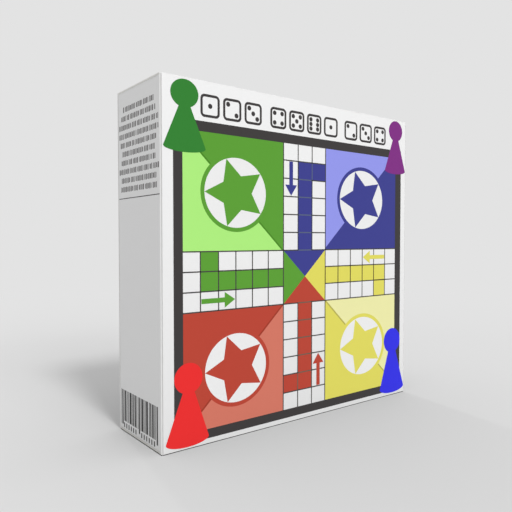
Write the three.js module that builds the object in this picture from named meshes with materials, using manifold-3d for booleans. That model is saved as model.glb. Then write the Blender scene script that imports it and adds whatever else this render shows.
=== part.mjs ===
// Folding ludo board box: an upright tuck-top carton of creased card. It holds a ludo board folded
// to a quarter of its size, a rules leaflet, and a card stand with sixteen pawns and two dice.
// Millimetres, +X to the right, +Y to the back, +Z up, origin at the middle of the base.

import * as THREE from 'three'
import { mergeVertices } from 'three/addons/utils/BufferGeometryUtils.js'
import { RoundedBoxGeometry } from 'three/addons/geometries/RoundedBoxGeometry.js'
import Module from 'manifold-3d'

const wasm = await Module()
wasm.setup()

// Carton, outside sizes and card
const boxWidth = 222
const boxDepth = 59
const boxHeight = 220
const cardThickness = 0.8
const creaseInnerRadius = 0.5
const slipGap = 0.3

// Carton flaps
const glueFlapWidth = 15
const glueFlapTaper = 5
const bottomDustFlapLength = 45
const bottomDustFlapTaper = 9
const lidSetback = 0.5
const tuckFlapLength = 15
const tuckFlapSetback = 2.5
const tuckCornerRadius = 9
const tuckRestTilt = THREE.MathUtils.degToRad(12)
const topDustFlapLength = 40
const dustFlapFrontShoulder = 5
const dustFlapBackRelief = 3
const dustFlapTaperShare = 0.65

// Card stand for the playing pieces
const standCardThickness = 0.8
const standEndGap = 0.7
const deckBelowTuck = 3.2
const storeHeadroom = 1.5
const tuckStoreGap = 0.7
const pocketClearance = 0.5
const rearPocketWeb = 2
const diceColumn = 4
const columnCount = 9

// Folded board and leaflet
const leafThickness = 2
const leafGap = 0.2
const boardHeadroom = 10.7
const tapeThickness = 0.3
const leafletWidth = 148
const leafletHeight = 105
const leafletThickness = 0.6

// Playing pieces
const pawnHeight = 24
const pawnBaseDiameter = 14
const pawnFootHeight = 1.6
const pawnFootChamfer = 0.5
const pawnNeckDiameter = 3.6
const pawnHeadDiameter = 10
const dieSide = 14
const dieEdgeRadius = 1.4

// How finely curves are drawn, and how far a cutting solid runs past what it cuts
const creaseArcDivisions = 3
const cornerArcDivisions = 4
const beadSegments = 12
const pawnSegments = 16
const pawnHeadSteps = 6
const pocketSegments = 20
const dieEdgeSegments = 2
const cutOverrun = 1

// Places that follow from the sizes above
const halfWidth = boxWidth / 2
const halfDepth = boxDepth / 2
const halfCard = cardThickness / 2
const creaseRadius = creaseInnerRadius + cardThickness
const creaseX = halfWidth - creaseRadius
const creaseY = halfDepth - creaseRadius
const wallInsideX = halfWidth - cardThickness
const wallInsideY = halfDepth - cardThickness
const innerFlapUnderside = cardThickness
const dustFlapFloor = innerFlapUnderside + cardThickness
const floorZ = dustFlapFloor + cardThickness
const lidMiddleZ = boxHeight - halfCard
const lidUnderside = boxHeight - cardThickness
const wallTop = lidUnderside - slipGap
const dustHingeZ = wallTop - halfCard
const dustFlapUnderside = wallTop - cardThickness
const dustHingeX = halfWidth - halfCard
const lidHingeY = halfDepth - halfCard
const tuckHingeY = -(wallInsideY - slipGap - halfCard)
const foldStart = halfCard + slipGap
const tuckTipZ = lidMiddleZ - tuckFlapLength * Math.cos(tuckRestTilt) - halfCard * Math.sin(tuckRestTilt)
const tuckTipY = tuckHingeY + tuckFlapLength * Math.sin(tuckRestTilt) + halfCard * Math.cos(tuckRestTilt)
const rearCreaseInset = { left: cardThickness, right: 0 }

// Finishes, with the colours of the photographed print and plain card inside
function finish(color, roughness) {
  return new THREE.MeshStandardMaterial({ color, roughness, metalness: 0 })
}
const cartonCard = finish(0xefefee, 0.5)
const standCard = finish(0xe4e2dd, 0.8)
const boardCover = finish(0x3e3a38, 0.6)
const clothTape = finish(0x2b2928, 0.8)
const leafletPaper = finish(0xf4f4f1, 0.75)
const dieWhite = finish(0xf3f1ea, 0.3)
const pawnFinishes = {
  green: finish(0x3c833a, 0.3),
  blue: finish(0x3832eb, 0.3),
  red: finish(0xeb3232, 0.3),
  yellow: finish(0xe2dd55, 0.3)
}

const ludoBox = new THREE.Group()

function addPart(name, geometry, material, parent = ludoBox) {
  const mesh = new THREE.Mesh(geometry, material)
  mesh.name = name
  parent.add(mesh)
  return mesh
}

// Solids by join and cut
function toSolid(geometry) {
  const bare = geometry.clone()
  bare.deleteAttribute('normal')
  bare.deleteAttribute('uv')
  const merged = mergeVertices(bare)
  return new wasm.Manifold(new wasm.Mesh({
    numProp: 3,
    vertProperties: new Float32Array(merged.attributes.position.array),
    triVerts: new Uint32Array(merged.index.array)
  }))
}

function toGeometry(solid) {
  const mesh = solid.getMesh()
  const geometry = new THREE.BufferGeometry()
  geometry.setAttribute('position', new THREE.BufferAttribute(mesh.vertProperties, mesh.numProp))
  geometry.setIndex(new THREE.BufferAttribute(mesh.triVerts, 1))
  geometry.computeVertexNormals()
  return geometry
}

// Basic forms
function block(xRange, yRange, zRange) {
  const sizes = [xRange, yRange, zRange].map(([low, high]) => high - low)
  const middles = [xRange, yRange, zRange].map(([low, high]) => (low + high) / 2)
  return new THREE.BoxGeometry(...sizes).translate(...middles)
}

function drawnOut(outline, depth) {
  return new THREE.ExtrudeGeometry(new THREE.Shape(outline), { depth, bevelEnabled: false })
}

// The outline is given as (x, y), (y, z) or (x, z) points and drawn out along the third axis
function prismAlongZ(outline, [low, high]) {
  return drawnOut(outline, high - low).translate(0, 0, low)
}

function prismAlongX(outline, [low, high]) {
  const turn = new THREE.Matrix4().makeBasis(
    new THREE.Vector3(0, 1, 0), new THREE.Vector3(0, 0, 1), new THREE.Vector3(1, 0, 0))
  return drawnOut(outline, high - low).applyMatrix4(turn).translate(low, 0, 0)
}

function prismAlongY(outline, [low, high]) {
  return drawnOut(outline, high - low).rotateX(Math.PI / 2).translate(0, high, 0)
}

function points(pairs) {
  return pairs.map(([u, v]) => new THREE.Vector2(u, v))
}

// Section of a flap and its crease. The crease turns about the origin and the flap runs out along +u
function creasedFlapOutline(length) {
  const section = new THREE.Shape()
  section.moveTo(-creaseRadius, 0)
  section.absarc(0, 0, creaseRadius, Math.PI, 1.5 * Math.PI, false)
  section.lineTo(length, -creaseRadius)
  section.lineTo(length, -creaseInnerRadius)
  section.absarc(0, 0, creaseInnerRadius, 1.5 * Math.PI, Math.PI, true)
  return section.getPoints(creaseArcDivisions)
}

function placedOutline(outline, direction, originU, originV) {
  return outline.map((point) => new THREE.Vector2(direction * point.x + originU, point.y + originV))
}

// Walls of the carton
const flapHalfWidth = creaseX - slipGap

function sideWallOutline(rearCreaseY) {
  const plan = new THREE.Shape()
  plan.moveTo(creaseX, -halfDepth)
  plan.absarc(creaseX, -creaseY, creaseRadius, -Math.PI / 2, 0, false)
  plan.absarc(creaseX, rearCreaseY, creaseRadius, 0, Math.PI / 2, false)
  plan.absarc(creaseX, rearCreaseY, creaseInnerRadius, Math.PI / 2, 0, true)
  plan.absarc(creaseX, -creaseY, creaseInnerRadius, 0, -Math.PI / 2, true)
  return plan.getPoints(creaseArcDivisions)
}

// The wall is cut back at its foot and rim, where the dust flaps bend, and its rim ends in a round
// bead that the top dust flap turns on. Only the corner creases run the full height.
function addSidePanel(name, side, rearInset) {
  const rearCreaseY = creaseY - rearInset
  const shell = toSolid(prismAlongZ(sideWallOutline(rearCreaseY), [0, wallTop]))
  const cutX = [wallInsideX - cutOverrun, halfWidth + cutOverrun]
  const wallY = [-creaseY, rearCreaseY]
  const footNotch = block(cutX, wallY, [-cutOverrun, dustFlapFloor + creaseRadius])
  const rimNotch = block(cutX, wallY, [dustHingeZ, wallTop + cutOverrun])
  const bead = new THREE.CylinderGeometry(halfCard, halfCard, rearCreaseY + creaseY, beadSegments)
    .translate(dustHingeX, (rearCreaseY - creaseY) / 2, dustHingeZ)
  const wall = shell.subtract(toSolid(footNotch)).subtract(toSolid(rimNotch)).add(toSolid(bead))
  addPart(name, toGeometry(side < 0 ? wall.mirror([1, 0, 0]) : wall), cartonCard)
}

addSidePanel('left_side_panel', -1, rearCreaseInset.left)
addSidePanel('right_side_panel', 1, rearCreaseInset.right)

addPart('front_panel',
  block([-creaseX, creaseX], [-halfDepth, -wallInsideY], [creaseRadius, wallTop]), cartonCard)

// The back panel ends in the round bead that the lid turns on
function backPanelOutline() {
  const section = new THREE.Shape()
  section.moveTo(wallInsideY, innerFlapUnderside + creaseRadius)
  section.lineTo(halfDepth, innerFlapUnderside + creaseRadius)
  section.absarc(lidHingeY, lidMiddleZ, halfCard, 0, Math.PI, false)
  return section.getPoints(creaseArcDivisions)
}
addPart('back_panel', prismAlongX(backPanelOutline(), [slipGap - halfWidth, creaseX]), cartonCard)

// The glued joint: a strip of the left side's sheet, lying inside the back panel
const glueFlapRight = glueFlapWidth - creaseX
const glueFlapFoot = floorZ + slipGap
const glueFlapOutline = points([
  [-creaseX, glueFlapFoot],
  [glueFlapRight, glueFlapFoot + glueFlapTaper],
  [glueFlapRight, wallTop - glueFlapTaper],
  [-creaseX, wallTop]
])
addPart('glue_flap', prismAlongY(glueFlapOutline, [wallInsideY - cardThickness, wallInsideY]), cartonCard)

// Sealed bottom, from the floor up: outer flap from the front, inner flap from the back, dust flaps
const outerFlapLength = halfDepth - slipGap + creaseY
addPart('bottom_outer_flap',
  prismAlongX(placedOutline(creasedFlapOutline(outerFlapLength), 1, -creaseY, creaseRadius),
    [-flapHalfWidth, flapHalfWidth]), cartonCard)

const innerFlapLength = 2 * creaseY - slipGap
addPart('bottom_inner_flap',
  prismAlongX(placedOutline(creasedFlapOutline(innerFlapLength), -1, creaseY, innerFlapUnderside + creaseRadius),
    [-flapHalfWidth, flapHalfWidth]), cartonCard)

function addBottomDustFlap(name, side, rearInset) {
  const frontY = slipGap - creaseY
  const rearY = creaseY - rearInset - slipGap
  const section = placedOutline(creasedFlapOutline(bottomDustFlapLength), -side,
    side * creaseX, dustFlapFloor + creaseRadius)
  const strip = toSolid(prismAlongY(section, [frontY, rearY]))
  const tipX = creaseX - bottomDustFlapLength
  const plan = points([
    [halfWidth + cutOverrun, frontY],
    [halfWidth + cutOverrun, rearY],
    [creaseX, rearY],
    [tipX, rearY - bottomDustFlapTaper],
    [tipX, frontY + bottomDustFlapTaper],
    [creaseX, frontY]
  ])
  const trim = prismAlongZ(placedOutline(plan, side, 0, 0), [0, floorZ + creaseRadius])
  addPart(name, toGeometry(strip.intersect(toSolid(trim))), cartonCard)
}
addBottomDustFlap('bottom_dust_flap_left', -1, rearCreaseInset.left)
addBottomDustFlap('bottom_dust_flap_right', 1, rearCreaseInset.right)

// Top closure
function lidOutline() {
  const section = new THREE.Shape()
  section.moveTo(lidHingeY - foldStart, lidUnderside)
  section.lineTo(lidHingeY - foldStart, boxHeight)
  section.absarc(tuckHingeY, lidMiddleZ, halfCard, Math.PI / 2, 1.5 * Math.PI, false)
  return section.getPoints(creaseArcDivisions)
}
const lidHalfWidth = halfWidth - lidSetback
addPart('lid_panel', prismAlongX(lidOutline(), [-lidHalfWidth, lidHalfWidth]), cartonCard)

// The tuck flap hangs from the lid's front edge and leans in, clear of the front panel
function tuckFlapOutline() {
  const halfFlap = halfWidth - tuckFlapSetback
  const plan = new THREE.Shape()
  plan.moveTo(halfFlap, -foldStart)
  plan.lineTo(-halfFlap, -foldStart)
  plan.absarc(tuckCornerRadius - halfFlap, tuckCornerRadius - tuckFlapLength, tuckCornerRadius,
    Math.PI, 1.5 * Math.PI, false)
  plan.absarc(halfFlap - tuckCornerRadius, tuckCornerRadius - tuckFlapLength, tuckCornerRadius,
    -Math.PI / 2, 0, false)
  return plan.getPoints(cornerArcDivisions)
}
const tuckFold = new THREE.Group()
tuckFold.position.set(0, tuckHingeY, lidMiddleZ)
tuckFold.rotation.x = tuckRestTilt
ludoBox.add(tuckFold)
addPart('tuck_flap', prismAlongY(tuckFlapOutline(), [-halfCard, halfCard]), cartonCard, tuckFold)

// The dust flap tapers from the lid's hinge, so that it rises clear of the lid as both open
function addTopDustFlap(name, side) {
  const rootX = dustHingeX - foldStart
  const tipX = dustHingeX - topDustFlapLength
  const frontY = tuckHingeY + dustFlapFrontShoulder
  const rearY = lidHingeY - dustFlapBackRelief
  const plan = points([
    [rootX, frontY],
    [rootX, rearY - dustFlapTaperShare * foldStart],
    [tipX, rearY - dustFlapTaperShare * topDustFlapLength],
    [tipX, frontY]
  ])
  addPart(name, prismAlongZ(placedOutline(plan, side, 0, 0), [dustFlapUnderside, wallTop]), cartonCard)
}
addTopDustFlap('top_dust_flap_left', -1)
addTopDustFlap('top_dust_flap_right', 1)

// Folded board: four leaves on edge against the back, joined by cloth tapes
const leafSide = Math.min(2 * wallInsideX, dustFlapUnderside - floorZ) - boardHeadroom
const leafPitch = leafThickness + leafGap
const leafCount = 4
const boardRearY = wallInsideY - cardThickness - slipGap
const boardFrontY = boardRearY - leafCount * leafPitch + leafGap
const leafTop = floorZ + leafSide

function leafFront(index) {
  return boardFrontY + index * leafPitch
}

for (let index = 0; index < leafCount; index++) {
  addPart(`board_leaf_${index + 1}`,
    block([-leafSide / 2, leafSide / 2], [leafFront(index), leafFront(index) + leafThickness],
      [floorZ, leafTop]), boardCover)
}

// The first and last folds run along the top edge, and the middle fold along the right edge
function pairDepth(index) {
  return [leafFront(index), leafFront(index + 1) + leafThickness]
}
const tapeSpan = [slipGap - leafSide / 2, leafSide / 2 - slipGap]
const topTape = [leafTop, leafTop + tapeThickness]
addPart('board_tape_1', block(tapeSpan, pairDepth(0), topTape), clothTape)
addPart('board_tape_2',
  block([leafSide / 2, leafSide / 2 + tapeThickness], pairDepth(1), [floorZ + slipGap, leafTop - slipGap]),
  clothTape)
addPart('board_tape_3', block(tapeSpan, pairDepth(2), topTape), clothTape)

const leafletRearY = boardFrontY - slipGap
const leafletFrontY = leafletRearY - leafletThickness
addPart('rules_leaflet',
  block([-leafletWidth / 2, leafletWidth / 2], [leafletFrontY, leafletRearY],
    [floorZ, floorZ + leafletHeight]), leafletPaper)

// Card stand: a deck on two walls, and a shelf on two walls nested inside it
const standHalfLength = wallInsideX - standEndGap
const standX = [-standHalfLength, standHalfLength]
const standFrontY = slipGap - wallInsideY
const standRearY = leafletFrontY - slipGap
const deckTop = tuckTipZ - deckBelowTuck
const shelfTop = dustFlapUnderside - storeHeadroom - pawnHeight
const nestStep = standCardThickness + slipGap

function addStandLayer(deckName, wallPrefix, frontY, rearY, top, pockets) {
  const underside = top - standCardThickness
  const deck = toSolid(block(standX, [frontY, rearY], [underside, top]))
  const drilled = pockets.reduce((rest, pocket) => rest.subtract(toSolid(pocket)), deck)
  addPart(deckName, toGeometry(drilled), standCard)
  addPart(`${wallPrefix}_front_wall`,
    block(standX, [frontY, frontY + standCardThickness], [floorZ, underside]), standCard)
  addPart(`${wallPrefix}_rear_wall`,
    block(standX, [rearY - standCardThickness, rearY], [floorZ, underside]), standCard)
}

// Places for the pieces: two rows, in columns spread evenly along the stand
const pocketSide = Math.max(pawnBaseDiameter, dieSide) + 2 * pocketClearance
const rowPlaces = [
  tuckTipY + tuckStoreGap + pocketSide / 2,
  standRearY - rearPocketWeb - pocketSide / 2
]
const columnPitch = 2 * standHalfLength / columnCount
function columnX(column) {
  return (column - diceColumn) * columnPitch
}

function roundPocket(x, y) {
  const radius = pawnBaseDiameter / 2 + pocketClearance
  const depth = standCardThickness + 2 * cutOverrun
  return new THREE.CylinderGeometry(radius, radius, depth, pocketSegments)
    .rotateX(Math.PI / 2)
    .translate(x, y, deckTop - standCardThickness / 2)
}

function squarePocket(x, y) {
  const half = dieSide / 2 + pocketClearance
  return block([x - half, x + half], [y - half, y + half],
    [deckTop - standCardThickness - cutOverrun, deckTop + cutOverrun])
}

const pockets = []
for (let column = 0; column < columnCount; column++) {
  const shape = column === diceColumn ? squarePocket : roundPocket
  for (const y of rowPlaces) {
    pockets.push(shape(columnX(column), y))
  }
}
addStandLayer('insert_deck', 'insert', standFrontY, standRearY, deckTop, pockets)
addStandLayer('insert_shelf', 'shelf', standFrontY + nestStep, standRearY - nestStep, shelfTop, [])

// Pawn: a turned cone with a round head, on its own axis
function pawnGeometry() {
  const baseRadius = pawnBaseDiameter / 2
  const neckRadius = pawnNeckDiameter / 2
  const headRadius = pawnHeadDiameter / 2
  const headMiddle = pawnHeight - headRadius
  const neckAngle = Math.asin(neckRadius / headRadius)
  const profile = points([
    [0, 0],
    [baseRadius - pawnFootChamfer, 0],
    [baseRadius, pawnFootChamfer],
    [baseRadius, pawnFootHeight]
  ])
  for (let step = 0; step < pawnHeadSteps; step++) {
    const angle = neckAngle + (Math.PI - neckAngle) * step / pawnHeadSteps
    profile.push(new THREE.Vector2(headRadius * Math.sin(angle), headMiddle - headRadius * Math.cos(angle)))
  }
  profile.push(new THREE.Vector2(0, pawnHeight))
  return new THREE.LatheGeometry(profile, pawnSegments).rotateX(Math.PI / 2)
}

// Each colour fills two neighbouring columns
const pawnsPerColumn = rowPlaces.length
const columnsPerColour = 2
const pawnColumns = { green: 0, blue: 2, red: 5, yellow: 7 }
for (const [colour, firstColumn] of Object.entries(pawnColumns)) {
  for (let index = 0; index < columnsPerColour * pawnsPerColumn; index++) {
    const column = firstColumn + Math.floor(index / pawnsPerColumn)
    const pawn = addPart(`pawn_${colour}_${index + 1}`, pawnGeometry(), pawnFinishes[colour])
    pawn.position.set(columnX(column), rowPlaces[index % pawnsPerColumn], shelfTop)
  }
}

rowPlaces.forEach((y, index) => {
  const die = addPart(`die_${index + 1}`,
    new RoundedBoxGeometry(dieSide, dieSide, dieSide, dieEdgeSegments, dieEdgeRadius), dieWhite)
  die.position.set(columnX(diceColumn), y, shelfTop + dieSide / 2)
})

export default ludoBox
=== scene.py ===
"""Looks of the folding ludo board box: a printed tuck-top carton with its game inside.

Shapes are worked in millimetres, +X to the right, +Y to the back and +Z up, with the origin in the
middle of the base, and become metres when a piece is finished.
"""

import logging
import math
from collections.abc import Callable, Sequence
from dataclasses import dataclass, replace
from enum import Enum, IntEnum
from functools import cache

import bmesh
import bpy
from bmesh.types import BMEdge, BMFace, BMVert
from bpy.types import Material, Node, NodeSocket, NodeTree, Object
from mathutils import Matrix, Vector


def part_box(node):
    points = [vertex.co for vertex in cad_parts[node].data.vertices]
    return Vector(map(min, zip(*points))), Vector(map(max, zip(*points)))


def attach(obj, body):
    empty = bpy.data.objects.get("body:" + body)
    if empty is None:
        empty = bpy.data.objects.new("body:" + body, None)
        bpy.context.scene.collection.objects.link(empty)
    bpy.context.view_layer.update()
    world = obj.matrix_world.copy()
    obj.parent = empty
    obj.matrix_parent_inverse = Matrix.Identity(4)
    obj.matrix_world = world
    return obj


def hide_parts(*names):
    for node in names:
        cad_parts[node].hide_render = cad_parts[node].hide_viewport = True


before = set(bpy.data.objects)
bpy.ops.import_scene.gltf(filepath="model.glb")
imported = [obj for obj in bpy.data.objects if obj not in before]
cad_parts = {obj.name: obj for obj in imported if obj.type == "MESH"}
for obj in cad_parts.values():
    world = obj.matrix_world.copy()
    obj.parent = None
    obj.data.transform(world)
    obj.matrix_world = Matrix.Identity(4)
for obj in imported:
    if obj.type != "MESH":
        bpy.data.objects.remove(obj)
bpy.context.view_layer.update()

log = logging.getLogger("ludo_box")

MILLIMETRE = 0.001
QUARTER_TURN = math.pi / 2
# HAIR is a distance in millimetres that counts as none, and CREASED a turn in radians that counts as an edge.
HAIR = 0.01
CREASED = 1.0

Colour = tuple[int, int, int]
Point = tuple[float, float]
Place = tuple[float, float, float]


class Body(Enum):
    """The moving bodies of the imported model."""

    CARTON = "carton"
    LID = "lid"
    TUCK = "tuck"
    DUST_LEFT = "dust_flap_left"
    DUST_RIGHT = "dust_flap_right"


class Worded:
    """A choice whose name is part of the names of nodes and pieces."""

    @property
    def word(self) -> str:
        """The name as the nodes and pieces spell it."""
        return self.name.lower()


class Side(Worded, IntEnum):
    """Which side wall a piece belongs to, as the sign of its X."""

    LEFT = -1
    RIGHT = 1


class Team(Worded, Enum):
    """The four sets of pawns, with the colour of their plastic."""

    GREEN = (57, 131, 56)
    BLUE = (57, 53, 234)
    RED = (232, 51, 51)
    YELLOW = (228, 216, 66)


class CardFace(IntEnum):
    """Material places of a piece of folding card."""

    OUTSIDE = 0
    INSIDE = 1
    CUT_EDGE = 2


@dataclass(frozen=True)
class CartonSizes:
    """Sizes of the carton in millimetres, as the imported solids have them."""

    half_width: float = 111.0
    half_depth: float = 29.5
    height: float = 220.0
    card: float = 0.8
    print_room: float = 0.1
    slip: float = 0.3
    crease_x: float = 109.7
    crease_y: float = 28.2
    wall_top: float = 218.9
    floor: float = 2.4
    lid_middle: float = 219.6
    lid_hinge_y: float = 29.1
    tuck_hinge_y: float = -28.0
    dust_hinge_x: float = 110.6
    dust_hinge_z: float = 218.5

    @property
    def joint(self) -> float:
        """How far a front corner's crease is from the outside of the side wall."""
        return self.outer_x - self.crease_x

    @property
    def outer_x(self) -> float:
        """Outside of the side walls, under the print."""
        return self.half_width - self.print_room

    @property
    def outer_y(self) -> float:
        """Outside of the front and back walls, under the print."""
        return self.half_depth - self.print_room

    @property
    def inner_x(self) -> float:
        """Inside of the side walls."""
        return self.half_width - self.card

    @property
    def inner_y(self) -> float:
        """Inside of the front and back walls."""
        return self.half_depth - self.card

    @property
    def sheet(self) -> float:
        """Thickness of the walls, under the print."""
        return self.card - self.print_room


SIZES = CartonSizes()


def linear(colour: Colour) -> tuple[float, float, float, float]:
    """Turns a colour as seen on screen (sRGB) into the renderer's own linear scale.

    Args:
        colour: Red, green and blue from 0 to 255.

    Returns:
        The four numbers of a colour socket.
    """

    def channel(value: float) -> float:
        """One channel from 0 to 1."""
        return value / 12.92 if value <= 0.04045 else ((value + 0.055) / 1.055) ** 2.4

    red, green, blue = (channel(value / 255) for value in colour)
    return red, green, blue, 1.0


class NodeBench:
    """A node tree with short ways to place and join its nodes."""

    def __init__(self, tree: NodeTree) -> None:
        """Starts on an empty tree."""
        self.tree = tree
        tree.nodes.clear()

    def place(self, kind: str, **settings: object) -> Node:
        """Adds a node and sets its plain properties.

        Args:
            kind: Blender's name of the node type.
            settings: Properties of the node by name.

        Returns:
            The new node.
        """
        node = self.tree.nodes.new(kind)
        for name, value in settings.items():
            setattr(node, name, value)
        return node

    def join(self, source: NodeSocket, target: NodeSocket) -> None:
        """Joins an output to an input."""
        self.tree.links.new(source, target)

    def feed(self, target: NodeSocket, term: object) -> None:
        """Joins an output to an input, or sets a plain number on it.

        Args:
            target: The input.
            term: A number or an output socket.
        """
        if isinstance(term, NodeSocket):
            self.join(term, target)
        else:
            target.default_value = term

    def maths(self, operation: str, *terms: object, clamp: bool = False) -> NodeSocket:
        """Adds a Math node.

        Args:
            operation: Name of the sum, such as "MULTIPLY".
            terms: Numbers or output sockets, in order.
            clamp: Whether the result is held between 0 and 1.

        Returns:
            The result's socket.
        """
        node = self.place("ShaderNodeMath", operation=operation, use_clamp=clamp)
        for socket, term in zip(node.inputs, terms):
            self.feed(socket, term)
        return node.outputs[0]

    def noise(self, coordinates: NodeSocket, scale: object, detail: float) -> NodeSocket:
        """Adds a Noise Texture.

        Args:
            coordinates: Where it reads its place from.
            scale: A number or an output socket, in turns per metre.
            detail: How many finer layers it has.

        Returns:
            The socket of its value.
        """
        node = self.place("ShaderNodeTexNoise")
        for name, term in (("Vector", coordinates), ("Scale", scale), ("Detail", detail)):
            self.feed(node.inputs[name], term)
        return node.outputs[0]


class SharedEffects:
    """Shader effects that several finishes use, each a node group built once."""

    fine_share = 0.4
    rub_scale = 160.0
    rub_threshold = 0.42
    rub_contrast = 4.0
    foot_contrast = 6.0
    foot_slope = 8.0
    foot_start = -5.0
    # Painted shade of the weave: its colour value runs from thread_shade to thread_shade + thread_swing with
    # the weave's height.
    thread_swing = 0.5
    thread_shade = 0.75

    @staticmethod
    def started(name: str, inputs: dict[str, float | str],
                outputs: dict[str, str]) -> tuple[NodeBench, Node, Node]:
        """Makes an empty node group with its sockets.

        Args:
            name: Name of the group.
            inputs: Default value of each number, or "colour" for a colour.
            outputs: "colour" or "number" for each output.

        Returns:
            The bench to build on, and the group's input and output nodes.
        """
        tree = bpy.data.node_groups.new(name, "ShaderNodeTree")
        for socket_name, default in inputs.items():
            kind = "NodeSocketColor" if default == "colour" else "NodeSocketFloat"
            socket = tree.interface.new_socket(socket_name, in_out="INPUT", socket_type=kind)
            if default != "colour":
                socket.default_value = default
        for socket_name, what in outputs.items():
            kind = "NodeSocketColor" if what == "colour" else "NodeSocketFloat"
            tree.interface.new_socket(socket_name, in_out="OUTPUT", socket_type=kind)
        bench = NodeBench(tree)
        return bench, bench.place("NodeGroupInput"), bench.place("NodeGroupOutput")

    @classmethod
    @cache
    def surface_grain(cls) -> NodeTree:
        """Mottled colour, uneven gloss and fine relief, for paper, card, ink and plastic.

        Returns:
            The node group.
        """
        bench, given, made = cls.started(
            "surface_grain",
            {"Color": "colour", "Mottle": 0.05, "Grain": 1500.0, "Patch": 40.0, "Roughness": 0.5,
             "Gloss Spread": 0.1},
            {"Color": "colour", "Roughness": "number", "Height": "number"},
        )
        place = bench.place("ShaderNodeTexCoord").outputs["Object"]
        fine = bench.noise(place, given.outputs["Grain"], detail=3.0)
        broad = bench.noise(place, given.outputs["Patch"], detail=4.0)
        blend = bench.maths("ADD", bench.maths("MULTIPLY", fine, cls.fine_share),
                            bench.maths("MULTIPLY", broad, 1 - cls.fine_share))
        swing = bench.maths("SUBTRACT", blend, 0.5)
        tone = bench.place("ShaderNodeHueSaturation")
        bench.join(given.outputs["Color"], tone.inputs["Color"])
        bench.join(bench.maths("MULTIPLY_ADD", swing, given.outputs["Mottle"], 1.0), tone.inputs["Value"])
        bench.join(tone.outputs["Color"], made.inputs["Color"])
        gloss = bench.maths("MULTIPLY_ADD", bench.maths("SUBTRACT", broad, 0.5),
                            given.outputs["Gloss Spread"], given.outputs["Roughness"])
        bench.join(gloss, made.inputs["Roughness"])
        bench.join(fine, made.inputs["Height"])
        return bench.tree

    @classmethod
    @cache
    def edge_wear_and_foot_shade(cls) -> NodeTree:
        """Masks for the box: patchy rubbing along its outer edges as wear, and a painted contact shadow as a
        dark line along its foot.

        Returns:
            The node group.
        """
        bench, given, made = cls.started(
            "edge_wear_and_foot_shade",
            {"Half Width": 0.111, "Half Depth": 0.0295, "Height": 0.22, "Reach": 0.0018, "Foot": 0.00056},
            {"Rub": "number", "Foot": "number"},
        )
        place = bench.place("ShaderNodeTexCoord").outputs["Object"]
        split = bench.place("ShaderNodeSeparateXYZ")
        bench.join(place, split.inputs[0])

        def nearness(coordinate: NodeSocket, limit: NodeSocket) -> NodeSocket:
            """How near a coordinate is to its limit.

            Args:
                coordinate: The coordinate, of either sign.
                limit: The limit.

            Returns:
                1 at the limit, falling to 0 a reach inside it.
            """
            inside = bench.maths("SUBTRACT", limit, bench.maths("ABSOLUTE", coordinate))
            share = bench.maths("DIVIDE", inside, given.outputs["Reach"], clamp=True)
            return bench.maths("SUBTRACT", 1.0, share)

        half_height = bench.maths("MULTIPLY", given.outputs["Height"], 0.5)
        raised = bench.maths("SUBTRACT", split.outputs["Z"], half_height)
        near_x = nearness(split.outputs["X"], given.outputs["Half Width"])
        near_y = nearness(split.outputs["Y"], given.outputs["Half Depth"])
        near_z = nearness(raised, half_height)
        pairs = [bench.maths("MULTIPLY", a, b)
                 for a, b in ((near_x, near_y), (near_y, near_z), (near_x, near_z))]
        edges = bench.maths("MAXIMUM", pairs[0], bench.maths("MAXIMUM", pairs[1], pairs[2]))
        patches = bench.noise(place, cls.rub_scale, detail=5.0)
        sharper = bench.maths("MULTIPLY", bench.maths("SUBTRACT", patches, cls.rub_threshold),
                              cls.rub_contrast, clamp=True)
        bench.join(bench.maths("MULTIPLY", edges, sharper, clamp=True), made.inputs["Rub"])
        # Foot mask: a painted contact shadow, near-black on the lowest half millimetre of the outermost
        # faces, where the box meets the floor.
        above = bench.maths("DIVIDE", split.outputs["Z"], given.outputs["Foot"])
        low = bench.maths("MULTIPLY", bench.maths("SUBTRACT", 1.0, above), cls.foot_contrast, clamp=True)
        outermost = bench.maths("MULTIPLY_ADD", bench.maths("MAXIMUM", near_x, near_y),
                                cls.foot_slope, cls.foot_start, clamp=True)
        bench.join(bench.maths("MULTIPLY", low, outermost), made.inputs["Foot"])
        return bench.tree

    @classmethod
    @cache
    def cloth_weave(cls) -> NodeTree:
        """Crossing threads for the board's hinge tape: a height for the bump, and a painted shade that
        darkens the colour where that height is low and lightens it where it is high.

        Returns:
            The node group.
        """
        bench, given, made = cls.started("cloth_weave", {"Threads": 2200.0},
                                         {"Height": "number", "Shade": "number"})
        split = bench.place("ShaderNodeSeparateXYZ")
        bench.join(bench.place("ShaderNodeTexCoord").outputs["Object"], split.inputs[0])
        across = bench.maths("ADD", split.outputs["Y"], split.outputs["Z"])
        turn = bench.maths("MULTIPLY", given.outputs["Threads"], 2 * math.pi)
        warp = bench.maths("SINE", bench.maths("MULTIPLY", split.outputs["X"], turn))
        weft = bench.maths("SINE", bench.maths("MULTIPLY", across, turn))
        crossing = bench.maths("MULTIPLY_ADD", bench.maths("MULTIPLY", warp, weft), 0.5, 0.5)
        bench.join(crossing, made.inputs["Height"])
        # Painted shade: the colour follows the weave's height, darker in the dips and lighter on the tops.
        shade = bench.maths("MULTIPLY_ADD", crossing, cls.thread_swing, cls.thread_shade)
        bench.join(shade, made.inputs["Shade"])
        return bench.tree


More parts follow.
